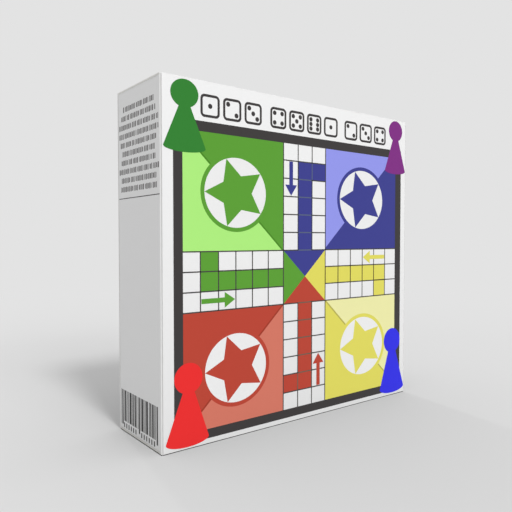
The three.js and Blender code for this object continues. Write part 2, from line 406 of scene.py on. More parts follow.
@dataclass(frozen=True)
class Finish:
    """A procedural surface: a mottled colour with uneven gloss and fine relief."""

    name: str
    colour: Colour
    roughness: float = 0.6
    mottle: float = 0.05
    grain: float = 1500.0
    patch: float = 40.0
    gloss_spread: float = 0.1
    relief: float = 0.02
    relief_strength: float = 0.6
    coat: float = 0.0
    coat_roughness: float = 0.3
    specular: float = 0.5
    # bounce: a darker colour seen only by diffuse rays, which paints shade onto the floor near the piece.
    bounce: Colour | None = None

    def material(self) -> Material:
        """The material of this name: a packed one is taken as it is, and any other is built once.

        Returns:
            The material.
        """
        material = bpy.data.materials.get(self.name)
        if material:
            return material
        material = bpy.data.materials.new(self.name)
        material.use_nodes = True
        bench = NodeBench(material.node_tree)
        output = bench.place("ShaderNodeOutputMaterial")
        shader = bench.place("ShaderNodeBsdfPrincipled")
        for name, value in (("Specular IOR Level", self.specular), ("Coat Weight", self.coat),
                            ("Coat Roughness", self.coat_roughness)):
            shader.inputs[name].default_value = value
        bench.join(shader.outputs[0], output.inputs["Surface"])
        grain = bench.place("ShaderNodeGroup", node_tree=SharedEffects.surface_grain())
        for name, value in (("Color", linear(self.colour)), ("Mottle", self.mottle), ("Grain", self.grain),
                            ("Patch", self.patch), ("Roughness", self.roughness),
                            ("Gloss Spread", self.gloss_spread)):
            grain.inputs[name].default_value = value
        self.dress(bench, shader, grain)
        return material

    def dress(self, bench: NodeBench, shader: Node, grain: Node) -> None:
        """Joins the grain to the shader.

        Args:
            bench: The material's node bench.
            shader: The Principled shader.
            grain: The placed surface grain group.
        """
        self.colour_shader(bench, shader, grain.outputs["Color"])
        bench.join(grain.outputs["Roughness"], shader.inputs["Roughness"])
        bench.join(self.relief_normal(bench, grain.outputs["Height"]), shader.inputs["Normal"])

    def colour_shader(self, bench: NodeBench, shader: Node, colour: NodeSocket) -> None:
        """Joins a colour to the shader, and the bounce colour where only its scattered light is seen, which
        paints shade onto the floor near the piece.

        Args:
            bench: The material's node bench.
            shader: The Principled shader.
            colour: The colour's socket.
        """
        if self.bounce:
            path = bench.place("ShaderNodeLightPath")
            colour = self.blended(bench, path.outputs["Is Diffuse Ray"], colour, self.bounce)
        bench.join(colour, shader.inputs["Base Color"])

    @staticmethod
    def blended(bench: NodeBench, share: NodeSocket, base: NodeSocket, over: Colour) -> NodeSocket:
        """Blends a colour over another.

        Args:
            bench: The material's node bench.
            share: How much of the upper colour shows.
            base: The lower colour's socket.
            over: The upper colour.

        Returns:
            The blend's socket.
        """
        mix = bench.place("ShaderNodeMix", data_type="RGBA")
        lower, upper, blend = mix.inputs[6], mix.inputs[7], mix.outputs[2]
        bench.join(share, mix.inputs["Factor"])
        bench.join(base, lower)
        upper.default_value = linear(over)
        return blend

    def relief_normal(self, bench: NodeBench, height: NodeSocket) -> NodeSocket:
        """A bump of this finish's relief, in millimetres.

        Args:
            bench: The material's node bench.
            height: The height's socket.

        Returns:
            The normal's socket.
        """
        bump = bench.place("ShaderNodeBump")
        bump.inputs["Strength"].default_value = self.relief_strength
        bump.inputs["Distance"].default_value = self.relief * MILLIMETRE
        bench.join(height, bump.inputs["Height"])
        return bump.outputs["Normal"]


@dataclass(frozen=True)
class WornCardWithFootShade(Finish):
    """Card that is a little soiled and dulled along the box's edges, with a painted contact shadow: a
    near-black line along its foot.
    """

    soil: Colour = (212, 209, 203)
    # foot: colour of the painted contact shadow along the box's base.
    foot: Colour = (22, 23, 22)
    rub_share: float = 0.22
    dulling: float = 0.2

    def dress(self, bench: NodeBench, shader: Node, grain: Node) -> None:
        """Joins the grain to the shader, with the worn edges and the painted contact-shadow line along the
        foot over it.

        Args:
            bench: The material's node bench.
            shader: The Principled shader.
            grain: The placed surface grain group.
        """
        wear = bench.place("ShaderNodeGroup", node_tree=SharedEffects.edge_wear_and_foot_shade())
        rub = bench.maths("MULTIPLY", wear.outputs["Rub"], self.rub_share)
        soiled = self.blended(bench, rub, grain.outputs["Color"], self.soil)
        # The foot mask paints a near-black contact shadow over the colour.
        self.colour_shader(bench, shader, self.blended(bench, wear.outputs["Foot"], soiled, self.foot))
        dulled = bench.maths("MULTIPLY_ADD", wear.outputs["Rub"], self.dulling,
                             grain.outputs["Roughness"], clamp=True)
        bench.join(dulled, shader.inputs["Roughness"])
        bench.join(self.relief_normal(bench, grain.outputs["Height"]), shader.inputs["Normal"])


@dataclass(frozen=True)
class WovenCloth(Finish):
    """Book cloth with crossing threads, and painted shade in the dips of the weave."""

    def dress(self, bench: NodeBench, shader: Node, grain: Node) -> None:
        """Joins the threads and the grain to the shader.

        Args:
            bench: The material's node bench.
            shader: The Principled shader.
            grain: The placed surface grain group.
        """
        weave = bench.place("ShaderNodeGroup", node_tree=SharedEffects.cloth_weave())
        tone = bench.place("ShaderNodeHueSaturation")
        bench.join(grain.outputs["Color"], tone.inputs["Color"])
        bench.join(weave.outputs["Shade"], tone.inputs["Value"])
        bench.join(tone.outputs["Color"], shader.inputs["Base Color"])
        bench.join(grain.outputs["Roughness"], shader.inputs["Roughness"])
        bench.join(self.relief_normal(bench, weave.outputs["Height"]), shader.inputs["Normal"])


# A dark grey that the outside card and the inks show to diffuse rays alone, so that they throw less light
# onto the floor: painted shade on the floor around the box's base.
FLOOR_SHADE_BOUNCE = (90, 90, 90)
COATED_CARD = WornCardWithFootShade("coated_card", (237, 237, 237), roughness=0.42, mottle=0.012, grain=900.0,
                          relief=0.012, specular=0.2, bounce=FLOOR_SHADE_BOUNCE)
CARD_INSIDE = Finish("uncoated_card", (226, 223, 215), roughness=0.85, mottle=0.07, grain=1400.0, relief=0.03)
CARD_EDGE = WornCardWithFootShade("cut_card_edge", (236, 235, 231), roughness=0.9, mottle=0.12, grain=3200.0,
                        patch=700.0, relief=0.05)
STAND_CARD = Finish("stand_card", (229, 227, 221), roughness=0.8, mottle=0.06, grain=1400.0, relief=0.03)
BOARD_COVER = Finish("board_cover_paper", (62, 58, 56), roughness=0.55, mottle=0.18, grain=2600.0,
                     patch=120.0, relief=0.04)
HINGE_CLOTH = WovenCloth("hinge_cloth", (43, 41, 40), roughness=0.8, mottle=0.25, relief=0.08)
LEAFLET_PAPER = Finish("leaflet_paper", (243, 243, 239), roughness=0.75, mottle=0.04, grain=1800.0,
                       relief=0.015)
DIE_PLASTIC = Finish("die_plastic", (242, 240, 232), roughness=0.22, mottle=0.02, grain=500.0, relief=0.01,
                     coat=0.3, coat_roughness=0.12)
PIP_PAINT = Finish("pip_paint", (30, 29, 30), roughness=0.4, mottle=0.2, grain=1500.0, relief=0.02)


def pawn_plastic(team: Team) -> Finish:
    """Glossy moulded plastic in a team's colour."""
    return Finish(f"pawn_{team.word}_plastic", team.value, roughness=0.24, mottle=0.04, grain=420.0,
                  patch=90.0, relief=0.012, coat=0.25, coat_roughness=0.1)


class Ink(Worded, Enum):
    """The inks of the printed faces, with their colour on screen."""

    CHARCOAL = (63, 60, 60)
    LINE = (70, 68, 66)
    BLUE_LINE = (90, 100, 126)
    RED_LINE = (110, 96, 84)
    YELLOW_LINE = (44, 24, 34)
    GREEN = (92, 158, 54)
    GREEN_TINT = (174, 238, 127)
    GREEN_FOLD = (72, 135, 36)
    BLUE = (62, 65, 142)
    BLUE_TINT = (148, 152, 235)
    RED = (186, 70, 54)
    RED_TINT = (212, 120, 101)
    RED_FOLD = (160, 58, 42)
    YELLOW = (225, 218, 97)
    YELLOW_TINT = (237, 235, 171)
    YELLOW_FOLD = (186, 178, 84)
    PAPER = (237, 237, 237)
    PAWN_GREEN = (52, 129, 51)
    PAWN_PURPLE = (128, 47, 131)
    PAWN_RED = (236, 47, 47)
    PAWN_BLUE = (51, 49, 230)
    GREY = (114, 112, 112)
    BLACK = (46, 44, 45)

    def finish(self) -> Finish:
        """The printed surface of this ink on coated card."""
        return Finish(f"ink_{self.word}", self.value, roughness=0.42, mottle=0.03, grain=700.0, patch=55.0,
                      # The inks show the dark bounce grey to diffuse rays: painted shade on the floor near
                      # the box.
                      gloss_spread=0.12, relief=0.01, specular=0.1, bounce=FLOOR_SHADE_BOUNCE)


class Coat(Enum):
    """How far each pass of print stands off the card, in millimetres."""

    FLAT = 0.02
    TINT = 0.028
    FOLD = 0.034
    LINE = 0.042
    DISC = 0.052
    MARK = 0.065
    FIGURE = 0.085


class Shape:
    """A solid worked in millimetres with bmesh operators."""

    def __init__(self) -> None:
        """Starts empty."""
        self.mesh = bmesh.new()

    def block(self, low: Place, high: Place) -> list[BMVert]:
        """Adds a rectangular block.

        Args:
            low: Lowest corner.
            high: Highest corner.

        Returns:
            Its corners.
        """
        size = [b - a for a, b in zip(low, high)]
        middle = [(a + b) / 2 for a, b in zip(low, high)]
        matrix = Matrix.Translation(middle) @ Matrix.Diagonal((*size, 1.0))
        return bmesh.ops.create_cube(self.mesh, size=1.0, matrix=matrix)["verts"]

    def rod(self, start: Place, end: Place, radius: float, segments: int = 24) -> None:
        """Adds a round rod between two points.

        Args:
            start: Middle of one end.
            end: Middle of the other end.
            radius: Radius of the rod.
            segments: Number of faces round it.
        """
        along = Vector(end) - Vector(start)
        turn = along.to_track_quat("Z", "Y").to_matrix().to_4x4()
        matrix = Matrix.Translation((Vector(start) + Vector(end)) / 2) @ turn
        bmesh.ops.create_cone(self.mesh, cap_ends=True, segments=segments, radius1=radius, radius2=radius,
                              depth=along.length, matrix=matrix)

    def outline(self, points: Sequence[Point]) -> BMFace:
        """Adds a flat face at height 0 from its corners in order, and returns it."""
        return self.mesh.faces.new([self.mesh.verts.new((u, v, 0.0)) for u, v in points])

    def round_corners(self, corners: Sequence[BMVert], radius: float, segments: int = 6) -> BMFace:
        """Rounds corners of a flat face.

        Args:
            corners: The corners to round.
            radius: Radius of the arc.
            segments: Number of edges of the arc.

        Returns:
            The rounded face.
        """
        rounded = bmesh.ops.bevel(self.mesh, geom=list(corners), offset=radius, offset_type="OFFSET",
                                  segments=segments, profile=0.5, affect="VERTICES", material=-1)
        return rounded["verts"][0].link_faces[0]

    def raise_faces(self, faces: Sequence[BMFace], by: Place) -> list[BMVert]:
        """Draws flat faces out into solids.

        Args:
            faces: The faces.
            by: How far and which way.

        Returns:
            The corners of the drawn-out end.
        """
        drawn = bmesh.ops.extrude_face_region(self.mesh, geom=list(faces))["geom"]
        left_inside = [face for face in faces if all(len(edge.link_faces) > 2 for edge in face.edges)]
        bmesh.ops.delete(self.mesh, geom=left_inside, context="FACES_ONLY")
        corners = [item for item in drawn if isinstance(item, BMVert)]
        bmesh.ops.translate(self.mesh, verts=corners, vec=by)
        return corners

    def soften(self, chosen: Callable[[BMEdge], bool], offset: float, segments: int = 2) -> None:
        """Rounds edges.

        Args:
            chosen: Says whether an edge is rounded.
            offset: Size of the rounding.
            segments: Number of faces across it.
        """
        edges = [edge for edge in self.mesh.edges if chosen(edge)]
        bmesh.ops.bevel(self.mesh, geom=edges, offset=offset, offset_type="OFFSET", segments=segments,
                        profile=0.5, affect="EDGES", material=-1)

    def add(self, other: "Shape") -> None:
        """Takes in another shape.

        Args:
            other: The shape, which is used up.
        """
        passing = bpy.data.meshes.new("passing")
        other.mesh.to_mesh(passing)
        other.mesh.free()
        self.mesh.from_mesh(passing)
        bpy.data.meshes.remove(passing)

    def move(self, matrix: Matrix) -> None:
        """Moves the whole shape."""
        bmesh.ops.transform(self.mesh, matrix=matrix, verts=self.mesh.verts[:])

    def card_piece(self, name: str, node: str, body: Body = Body.CARTON,
                   paint: Callable[[BMFace], int] | None = None) -> None:
        """Turns the shape into a finished piece of the carton's card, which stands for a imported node."""
        self.piece(name, body, CARTON_FINISHES, paint or card_side(), [node], "carton_card")

    def piece(self, name: str, body: Body, finishes: Sequence[Finish],
              paint: Callable[[BMFace], int] | None = None, replaces: Sequence[str] = (),
              slot: str | None = None, sharp: float = 35.0) -> Object:
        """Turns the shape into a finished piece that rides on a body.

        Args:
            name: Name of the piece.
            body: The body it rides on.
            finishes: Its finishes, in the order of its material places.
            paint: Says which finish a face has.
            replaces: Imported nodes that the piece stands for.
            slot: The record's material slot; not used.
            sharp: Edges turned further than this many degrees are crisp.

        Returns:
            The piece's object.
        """
        bmesh.ops.recalc_face_normals(self.mesh, faces=self.mesh.faces[:])
        limit = math.radians(sharp)
        for face in self.mesh.faces:
            face.smooth = True
            face.material_index = paint(face) if paint else 0
        for edge in self.mesh.edges:
            edge.smooth = edge.calc_face_angle(math.pi) < limit
        open_edges = sum(not edge.is_manifold for edge in self.mesh.edges)
        bmesh.ops.scale(self.mesh, vec=(MILLIMETRE,) * 3, verts=self.mesh.verts[:])
        data = bpy.data.meshes.new(name)
        self.mesh.to_mesh(data)
        self.mesh.free()
        for finish in finishes:
            data.materials.append(finish.material())
        made = bpy.data.objects.new(name, data)
        bpy.context.scene.collection.objects.link(made)
        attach(made, body.value)
        if replaces:
            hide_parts(*replaces)
        log.info("%s: %d faces, %d open edges, rides on %s", name, len(data.polygons), open_edges, body.value)
        return made


class FoldedStrip(Shape):
    """A strip of card or cloth that runs straight and bends in turn, from a rectangle at its start."""

    def __init__(self, low: Place, high: Place) -> None:
        """Starts from a flat rectangle.

        Args:
            low: Its lowest corner.
            high: Its highest corner, level with the lowest along one axis.
        """
        super().__init__()
        flat = next(axis for axis in range(3) if abs(high[axis] - low[axis]) < HAIR)
        wide, tall = (axis for axis in range(3) if axis != flat)
        corners = []
        for at_wide, at_tall in ((0, 0), (1, 0), (1, 1), (0, 1)):
            place = list(low)
            place[wide] = (low, high)[at_wide][wide]
            place[tall] = (low, high)[at_tall][tall]
            corners.append(self.mesh.verts.new(place))
        self.end = self.mesh.faces.new(corners)

    def run(self, by: Place) -> list[BMVert]:
        """Runs on straight.

        Args:
            by: How far and which way.

        Returns:
            The corners of the new end.
        """
        corners = self.raise_faces([self.end], by)
        shared = set.intersection(*(set(corner.link_faces) for corner in corners))
        self.end = shared.pop()
        return corners

    def bend(self, pivot: Place, axis: Place, angle: float, steps: int = 8) -> None:
        """Bends about an axis.

        Args:
            pivot: A point on the axis.
            axis: Direction of the axis.
            angle: How far it turns, in radians.
            steps: Number of flats in the bend.
        """
        geometry = [self.end, *self.end.edges, *self.end.verts]
        spun = bmesh.ops.spin(self.mesh, geom=geometry, cent=pivot, axis=axis, dvec=(0, 0, 0), angle=angle,
                              steps=steps, use_merge=False, use_duplicate=False)
        self.end = next(item for item in spun["geom_last"] if isinstance(item, BMFace))


def card_side(axis: Place | None = None, past: float = 0.5, level: float = 0.9,
              facing: float = 0.6) -> Callable[[BMFace], int]:
    """A rule for which place of a piece of card a face is.

    Args:
        axis: Direction of the sheet's outside, or None for a sheet that bends round the carton.
        past: How far over the dust flaps' hinge and the floor the walls are taken to start and end.
        level: How level a face at the rim is to be a cut edge.
        facing: How much a face looks outwards or inwards to be the outside or the inside.

    Returns:
        The rule.
    """

    def clamped(value: float, low: float, high: float) -> float:
        """The value, held between two limits."""
        return max(low, min(high, value))

    def rule(face: BMFace) -> int:
        """Which place a face is.

        Args:
            face: The face.

        Returns:
            Outside, inside or cut edge.
        """
        middle = face.calc_center_median()
        if axis is not None:
            outward = Vector(axis)
        elif face.normal.z > level and middle.y < 0 and middle.z > SIZES.dust_hinge_z + past:
            return CardFace.CUT_EDGE
        else:
            core = Vector((clamped(middle.x, -SIZES.crease_x, SIZES.crease_x),
                           clamped(middle.y, -SIZES.crease_y, SIZES.crease_y),
                           clamped(middle.z, SIZES.floor + past, SIZES.wall_top)))
            outward = middle - core
        if outward.length < HAIR:
            return CardFace.INSIDE
        lean = face.normal.dot(outward.normalized())
        if lean > facing:
            return CardFace.OUTSIDE
        return CardFace.INSIDE if lean < -facing else CardFace.CUT_EDGE

    return rule


CARTON_FINISHES = (COATED_CARD, CARD_INSIDE, CARD_EDGE)


def runs_along(edge: BMEdge, axis: int, share: float = 0.999) -> bool:
    """Whether an edge runs along an axis, with that share of its length or more."""
    line = edge.verts[1].co - edge.verts[0].co
    return abs(line[axis]) > share * line.length


def looks_along(face: BMFace, axis: int, share: float = 0.7) -> bool:
    """Whether a face looks along an axis, either way, with that share of its normal or more."""
    return abs(face.normal[axis]) > share


@dataclass
class Carton:
    """The glued sleeve of the carton and its sealed bottom."""

    rim: float = 219.95
    rim_softening: float = 0.12
    foot_softening: float = 0.2
    score_reach: float = 1.8
    ridge_start: float = 0.75
    ridge_end: Point = (0.5, 0.3)
    score_bottom: Point = (0.8, 0.75)
    score_end: float = 1.05
    upward: float = 0.5
    inner_bend: Point = (0.1, 0.5)
    corner_radius: float = 0.35
    ear_reach: float = 110.88
    ear_clear: float = 27.35
    bead_radius: float = 0.4
    glue_inset: float = 0.8
    back_overlap: float = 0.1
    dust_length: float = 45.0
    dust_taper: float = 9.0

    def build(self) -> None:
        """Makes every fixed panel of the carton."""
        self.front_wall()
        self.back_wall()
        for side in Side:
            self.side_wall(side)
            self.bottom_dust_flap(side)
        self.bottom_flap("outer", -SIZES.inner_y, SIZES.half_depth - SIZES.slip, 0.0)
        self.bottom_flap("inner", SIZES.inner_y, SIZES.slip - SIZES.crease_y, self.inner_flap_z)
        dress_packed("glue_flap", CARD_INSIDE)

    def front_wall(self) -> None:
        """The printed front, between its two corner creases."""
        shape = Shape()
        shape.block((-SIZES.crease_x, -SIZES.outer_y, 0.0), (SIZES.crease_x, -SIZES.inner_y, self.rim))
        shape.soften(lambda edge: runs_along(edge, 0) and edge.verts[0].co.z > SIZES.wall_top,
                     self.rim_softening)
        shape.soften(lambda edge: runs_along(edge, 0) and edge.verts[0].co.z < SIZES.floor
                     and edge.verts[0].co.y < -SIZES.inner_y, self.foot_softening)
        shape.card_piece("front_wall", "front_panel")

    def back_wall(self) -> None:
        """The back, with the round bead along its top that the lid turns on."""
        shape = Shape()
        shape.block((self.back_overlap - SIZES.half_width, SIZES.inner_y, self.inner_flap_z),
                    (SIZES.crease_x, SIZES.outer_y, SIZES.lid_middle))
        shape.rod((self.back_overlap - SIZES.half_width, SIZES.lid_hinge_y, SIZES.lid_middle),
                  (SIZES.crease_x, SIZES.lid_hinge_y, SIZES.lid_middle), self.bead_radius)
        shape.card_piece("back_wall", "back_panel")

    def side_wall(self, side: Side) -> None:
        """A side wall with its two corner creases and the bead its dust flap turns on.

        Args:
            side: Which side it is.
        """
        front_y = self.score_reach - SIZES.outer_y
        rear_y = self.rear_plane(side) - SIZES.joint
        rim = SIZES.dust_hinge_z
        low_x, high_x = sorted((side * SIZES.inner_x, side * SIZES.outer_x))
        shape = Shape()
        shape.block((low_x, front_y, self.dust_flap_z), (high_x, rear_y, rim))
        shape.soften(lambda edge: runs_along(edge, 1) and edge.verts[0].co.z < SIZES.floor
                     and abs(edge.verts[0].co.x) > SIZES.inner_x + HAIR, self.foot_softening)
        shape.rod((side * SIZES.dust_hinge_x, front_y, rim), (side * SIZES.dust_hinge_x, rear_y, rim),
                  self.bead_radius)
        shape.add(self.scored_corner(side))
        shape.add(self.tight_corner(side))
        shape.card_piece(f"{side.word}_wall", f"{side.word}_side_panel")

    def rear_plane(self, side: Side) -> float:
        """Where a side's rear corner ends: at the back, or under it where the left side is glued."""
        return SIZES.outer_y - (self.glue_inset if side is Side.LEFT else 0.0)

    def scored_corner(self, side: Side) -> Shape:
        """The front corner: a slanting ridge with the pressed score beside it.

        Args:
            side: Which side it is on.

        Returns:
            The corner, from the foot to the rim.
        """
        joint = SIZES.joint
        inner_bend = (joint - self.inner_bend[0], self.score_reach - self.inner_bend[1])
        insets = [(0.0, self.score_reach), (0.0, self.ridge_start), self.ridge_end, self.score_bottom,
                  (self.score_end, 0.0), (joint, 0.0), (joint, SIZES.sheet), inner_bend,
                  (SIZES.sheet, self.score_reach)]
        shape = Shape()
        face = shape.outline([(side * (SIZES.outer_x - a), b - SIZES.outer_y) for a, b in insets])
        top = shape.raise_faces([face], (0, 0, self.rim))
        under_lid = [vert for vert in top if vert.co.y > -SIZES.inner_y + HAIR]
        bmesh.ops.translate(shape.mesh, verts=under_lid, vec=(0, 0, SIZES.wall_top - self.rim))
        upper = [face for face in shape.mesh.faces if face.normal.z > self.upward]
        bmesh.ops.triangulate(shape.mesh, faces=upper)
        return shape

    def tight_corner(self, side: Side) -> Shape:
        """The rear corner, folded tight.

        Args:
            side: Which side it is on.

        Returns:
            The corner, from the foot to the top of the walls.
        """
        joint = SIZES.joint
        insets = [(0.0, joint), (0.0, 0.0), (joint, 0.0), (joint, SIZES.sheet), (SIZES.sheet, SIZES.sheet),
                  (SIZES.sheet, joint)]
        shape = Shape()
        face = shape.outline([(side * (SIZES.outer_x - a), self.rear_plane(side) - b) for a, b in insets])
        face = shape.round_corners([face.verts[1]], self.corner_radius, segments=5)
        shape.raise_faces([face], (0, 0, SIZES.wall_top))
        return shape

    @property
    def inner_flap_z(self) -> float:
        """Underside of the inner bottom flap, just over the outer one."""
        return SIZES.card + SIZES.print_room

    @property
    def dust_flap_z(self) -> float:
        """Underside of the bottom dust flaps, just over the inner flap."""
        return self.inner_flap_z + SIZES.card

    def bottom_flap(self, which: str, start_y: float, end_y: float, underside: float) -> None:
        """A flap across the whole bottom, with ears under the side walls, clear of the corner creases.

        Args:
            which: Which of the two it is.
            start_y: Where the wall is that it is folded in from.
            end_y: Where it ends.
            underside: How high it lies.
        """
        half = SIZES.crease_x - SIZES.slip
        way = 1 if end_y > start_y else -1
        strip = FoldedStrip((-half, start_y, underside), (half, start_y, underside + SIZES.sheet))
        strip.run((0, way * (abs(start_y) - self.ear_clear), 0))
        strip.run((0, way * 2 * self.ear_clear, 0))
        ears = [face for face in strip.mesh.faces
                if looks_along(face, 0) and abs(face.calc_center_median().y) < self.ear_clear]
        strip.run((0, way * (abs(end_y) - self.ear_clear), 0))
        for ear in ears:
            side = 1 if ear.calc_center_median().x > 0 else -1
            strip.raise_faces([ear], (side * (self.ear_reach - SIZES.crease_x + SIZES.slip), 0, 0))
        strip.card_piece(f"base_{which}_flap", f"bottom_{which}_flap")

    def bottom_dust_flap(self, side: Side) -> None:
        """A short flap folded in from a side wall, narrower at its tip.

        Args:
            side: Which side it is.
        """
        rear_y = self.rear_plane(side) - SIZES.outer_y + SIZES.crease_y - SIZES.slip
        front_y = SIZES.slip - SIZES.crease_y
        strip = FoldedStrip((side * SIZES.inner_x, front_y, self.dust_flap_z),
                            (side * SIZES.inner_x, rear_y, self.dust_flap_z + SIZES.sheet))
        tip = strip.run((side * (SIZES.crease_x - SIZES.inner_x - self.dust_length), 0, 0))
        for way in (1, -1):
            corners = [vert for vert in tip if vert.co.y * way > 0]
            bmesh.ops.translate(strip.mesh, verts=corners, vec=(0, -way * self.dust_taper, 0))
        strip.card_piece(f"base_dust_flap_{side.word}", f"bottom_dust_flap_{side.word}")


@dataclass
class TopClosure:
    """The lid, its tuck flap and the two dust flaps under it."""

    lid_setback: float = 0.2
    lid_underside: float = 219.0
    tuck_length: float = 15.0
    tuck_setback: float = 2.5
    tuck_corner: float = 9.0
    tuck_tilt: float = math.radians(12.0)
    dust_length: float = 40.0
    dust_corner: float = 3.0
    front_shoulder: float = 5.0
    back_relief: float = 3.0
    taper_share: float = 0.65
    fold_start: float = 0.7
    edge_softening: float = 0.12
    front_facing: float = 0.1
    top_facing: float = 0.3

    def build(self) -> None:
        """Makes the four moving flaps."""
        self.lid()
        self.tuck_flap()
        for side in Side:
            self.dust_flap(side)

    def lid(self) -> None:
        """The lid, from the back bead to the round fold of its tuck flap."""
        half = SIZES.half_width - self.lid_setback
        half_card = SIZES.card / 2
        shape = Shape()
        shape.block((-half, SIZES.tuck_hinge_y, self.lid_underside), (half, SIZES.lid_hinge_y, SIZES.height))
        shape.rod((-half, SIZES.tuck_hinge_y, SIZES.lid_middle), (half, SIZES.tuck_hinge_y, SIZES.lid_middle),
                  half_card)

        def side(face: BMFace) -> int:
            """Which place a face is, with the outside over the top and round the front fold.

            Args:
                face: The face.

            Returns:
                Outside, inside or cut edge.
            """
            if looks_along(face, 0):
                return CardFace.CUT_EDGE
            on_fold = face.calc_center_median().y < -SIZES.crease_y and face.normal.y < -self.front_facing
            return CardFace.OUTSIDE if face.normal.z > self.top_facing or on_fold else CardFace.INSIDE

        shape.card_piece("lid", "lid_panel", Body.LID, side)

    def tuck_flap(self) -> None:
        """The flap on the lid's front edge, with round corners, that slides in behind the front."""
        half = SIZES.half_width - self.tuck_setback
        shape = Shape()
        face = shape.outline([(half, 0), (-half, 0), (-half, -self.tuck_length), (half, -self.tuck_length)])
        shape.round_corners([v for v in face.verts if v.co.y < 0], self.tuck_corner, segments=12)
        shape.raise_faces(shape.mesh.faces[:], (0, 0, SIZES.card))
        shape.soften(lambda edge: edge.calc_face_angle(0) > CREASED and edge.verts[0].co.y < -HAIR,
                     self.edge_softening)
        upright = Matrix(((1, 0, 0, 0), (0, 0, -1, SIZES.card / 2), (0, 1, 0, 0), (0, 0, 0, 1)))
        shape.move(Matrix.Translation((0, SIZES.tuck_hinge_y, SIZES.lid_middle))
                   @ Matrix.Rotation(self.tuck_tilt, 4, "X") @ upright)
        shape.card_piece("lid_tuck", "tuck_flap", Body.TUCK, card_side((0, -1, 0)))

    def dust_flap(self, side: Side) -> None:
        """A flap on a side wall's rim, tapered towards the lid's hinge.

        Args:
            side: Which side it is.
        """
        tip_x = SIZES.dust_hinge_x - self.dust_length
        front_y = SIZES.tuck_hinge_y + self.front_shoulder
        rear_y = SIZES.lid_hinge_y - self.back_relief
        shape = Shape()
        straight_y = rear_y - self.taper_share * self.fold_start
        face = shape.outline([
            (side * SIZES.dust_hinge_x, front_y),
            (side * SIZES.dust_hinge_x, straight_y),
            (side * (SIZES.dust_hinge_x - self.fold_start), straight_y),
            (side * tip_x, rear_y - self.taper_share * self.dust_length),
            (side * tip_x, front_y),
        ])
        tip_corners = [v for v in face.verts if abs(v.co.x) < tip_x + HAIR]
        shape.round_corners(tip_corners, self.dust_corner, segments=8)
        shape.raise_faces(shape.mesh.faces[:], (0, 0, SIZES.card))
        shape.soften(lambda edge: edge.calc_face_angle(0) > CREASED
                     and any(abs(v.co.x) < SIZES.dust_hinge_x - HAIR for v in edge.verts),
                     self.edge_softening)
        shape.move(Matrix.Translation((0, 0, SIZES.dust_hinge_z - SIZES.card / 2)))
        body = Body.DUST_LEFT if side is Side.LEFT else Body.DUST_RIGHT
        shape.card_piece(f"dust_flap_{side.word}_panel", f"top_dust_flap_{side.word}", body,
                         card_side((0, 0, 1)))


class PrintFace(Enum):
    """The printed faces, as turns from a flat drawing to the carton."""

    FRONT = ((1, 0, 0), (0, 0, 1), (0, -1, 0), (0, -SIZES.outer_y, 0))
    LEFT = ((0, -1, 0), (0, 0, 1), (-1, 0, 0), (-SIZES.outer_x, 0, 0))

    def matrix(self) -> Matrix:
        """The turn from the drawing, whose third axis points out of the face.

        Returns:
            The matrix.
        """
        right, up, out, place = (Vector(part) for part in self.value)
        turn = Matrix((right, up, out)).transposed().to_4x4()
        return Matrix.Translation(place) @ turn


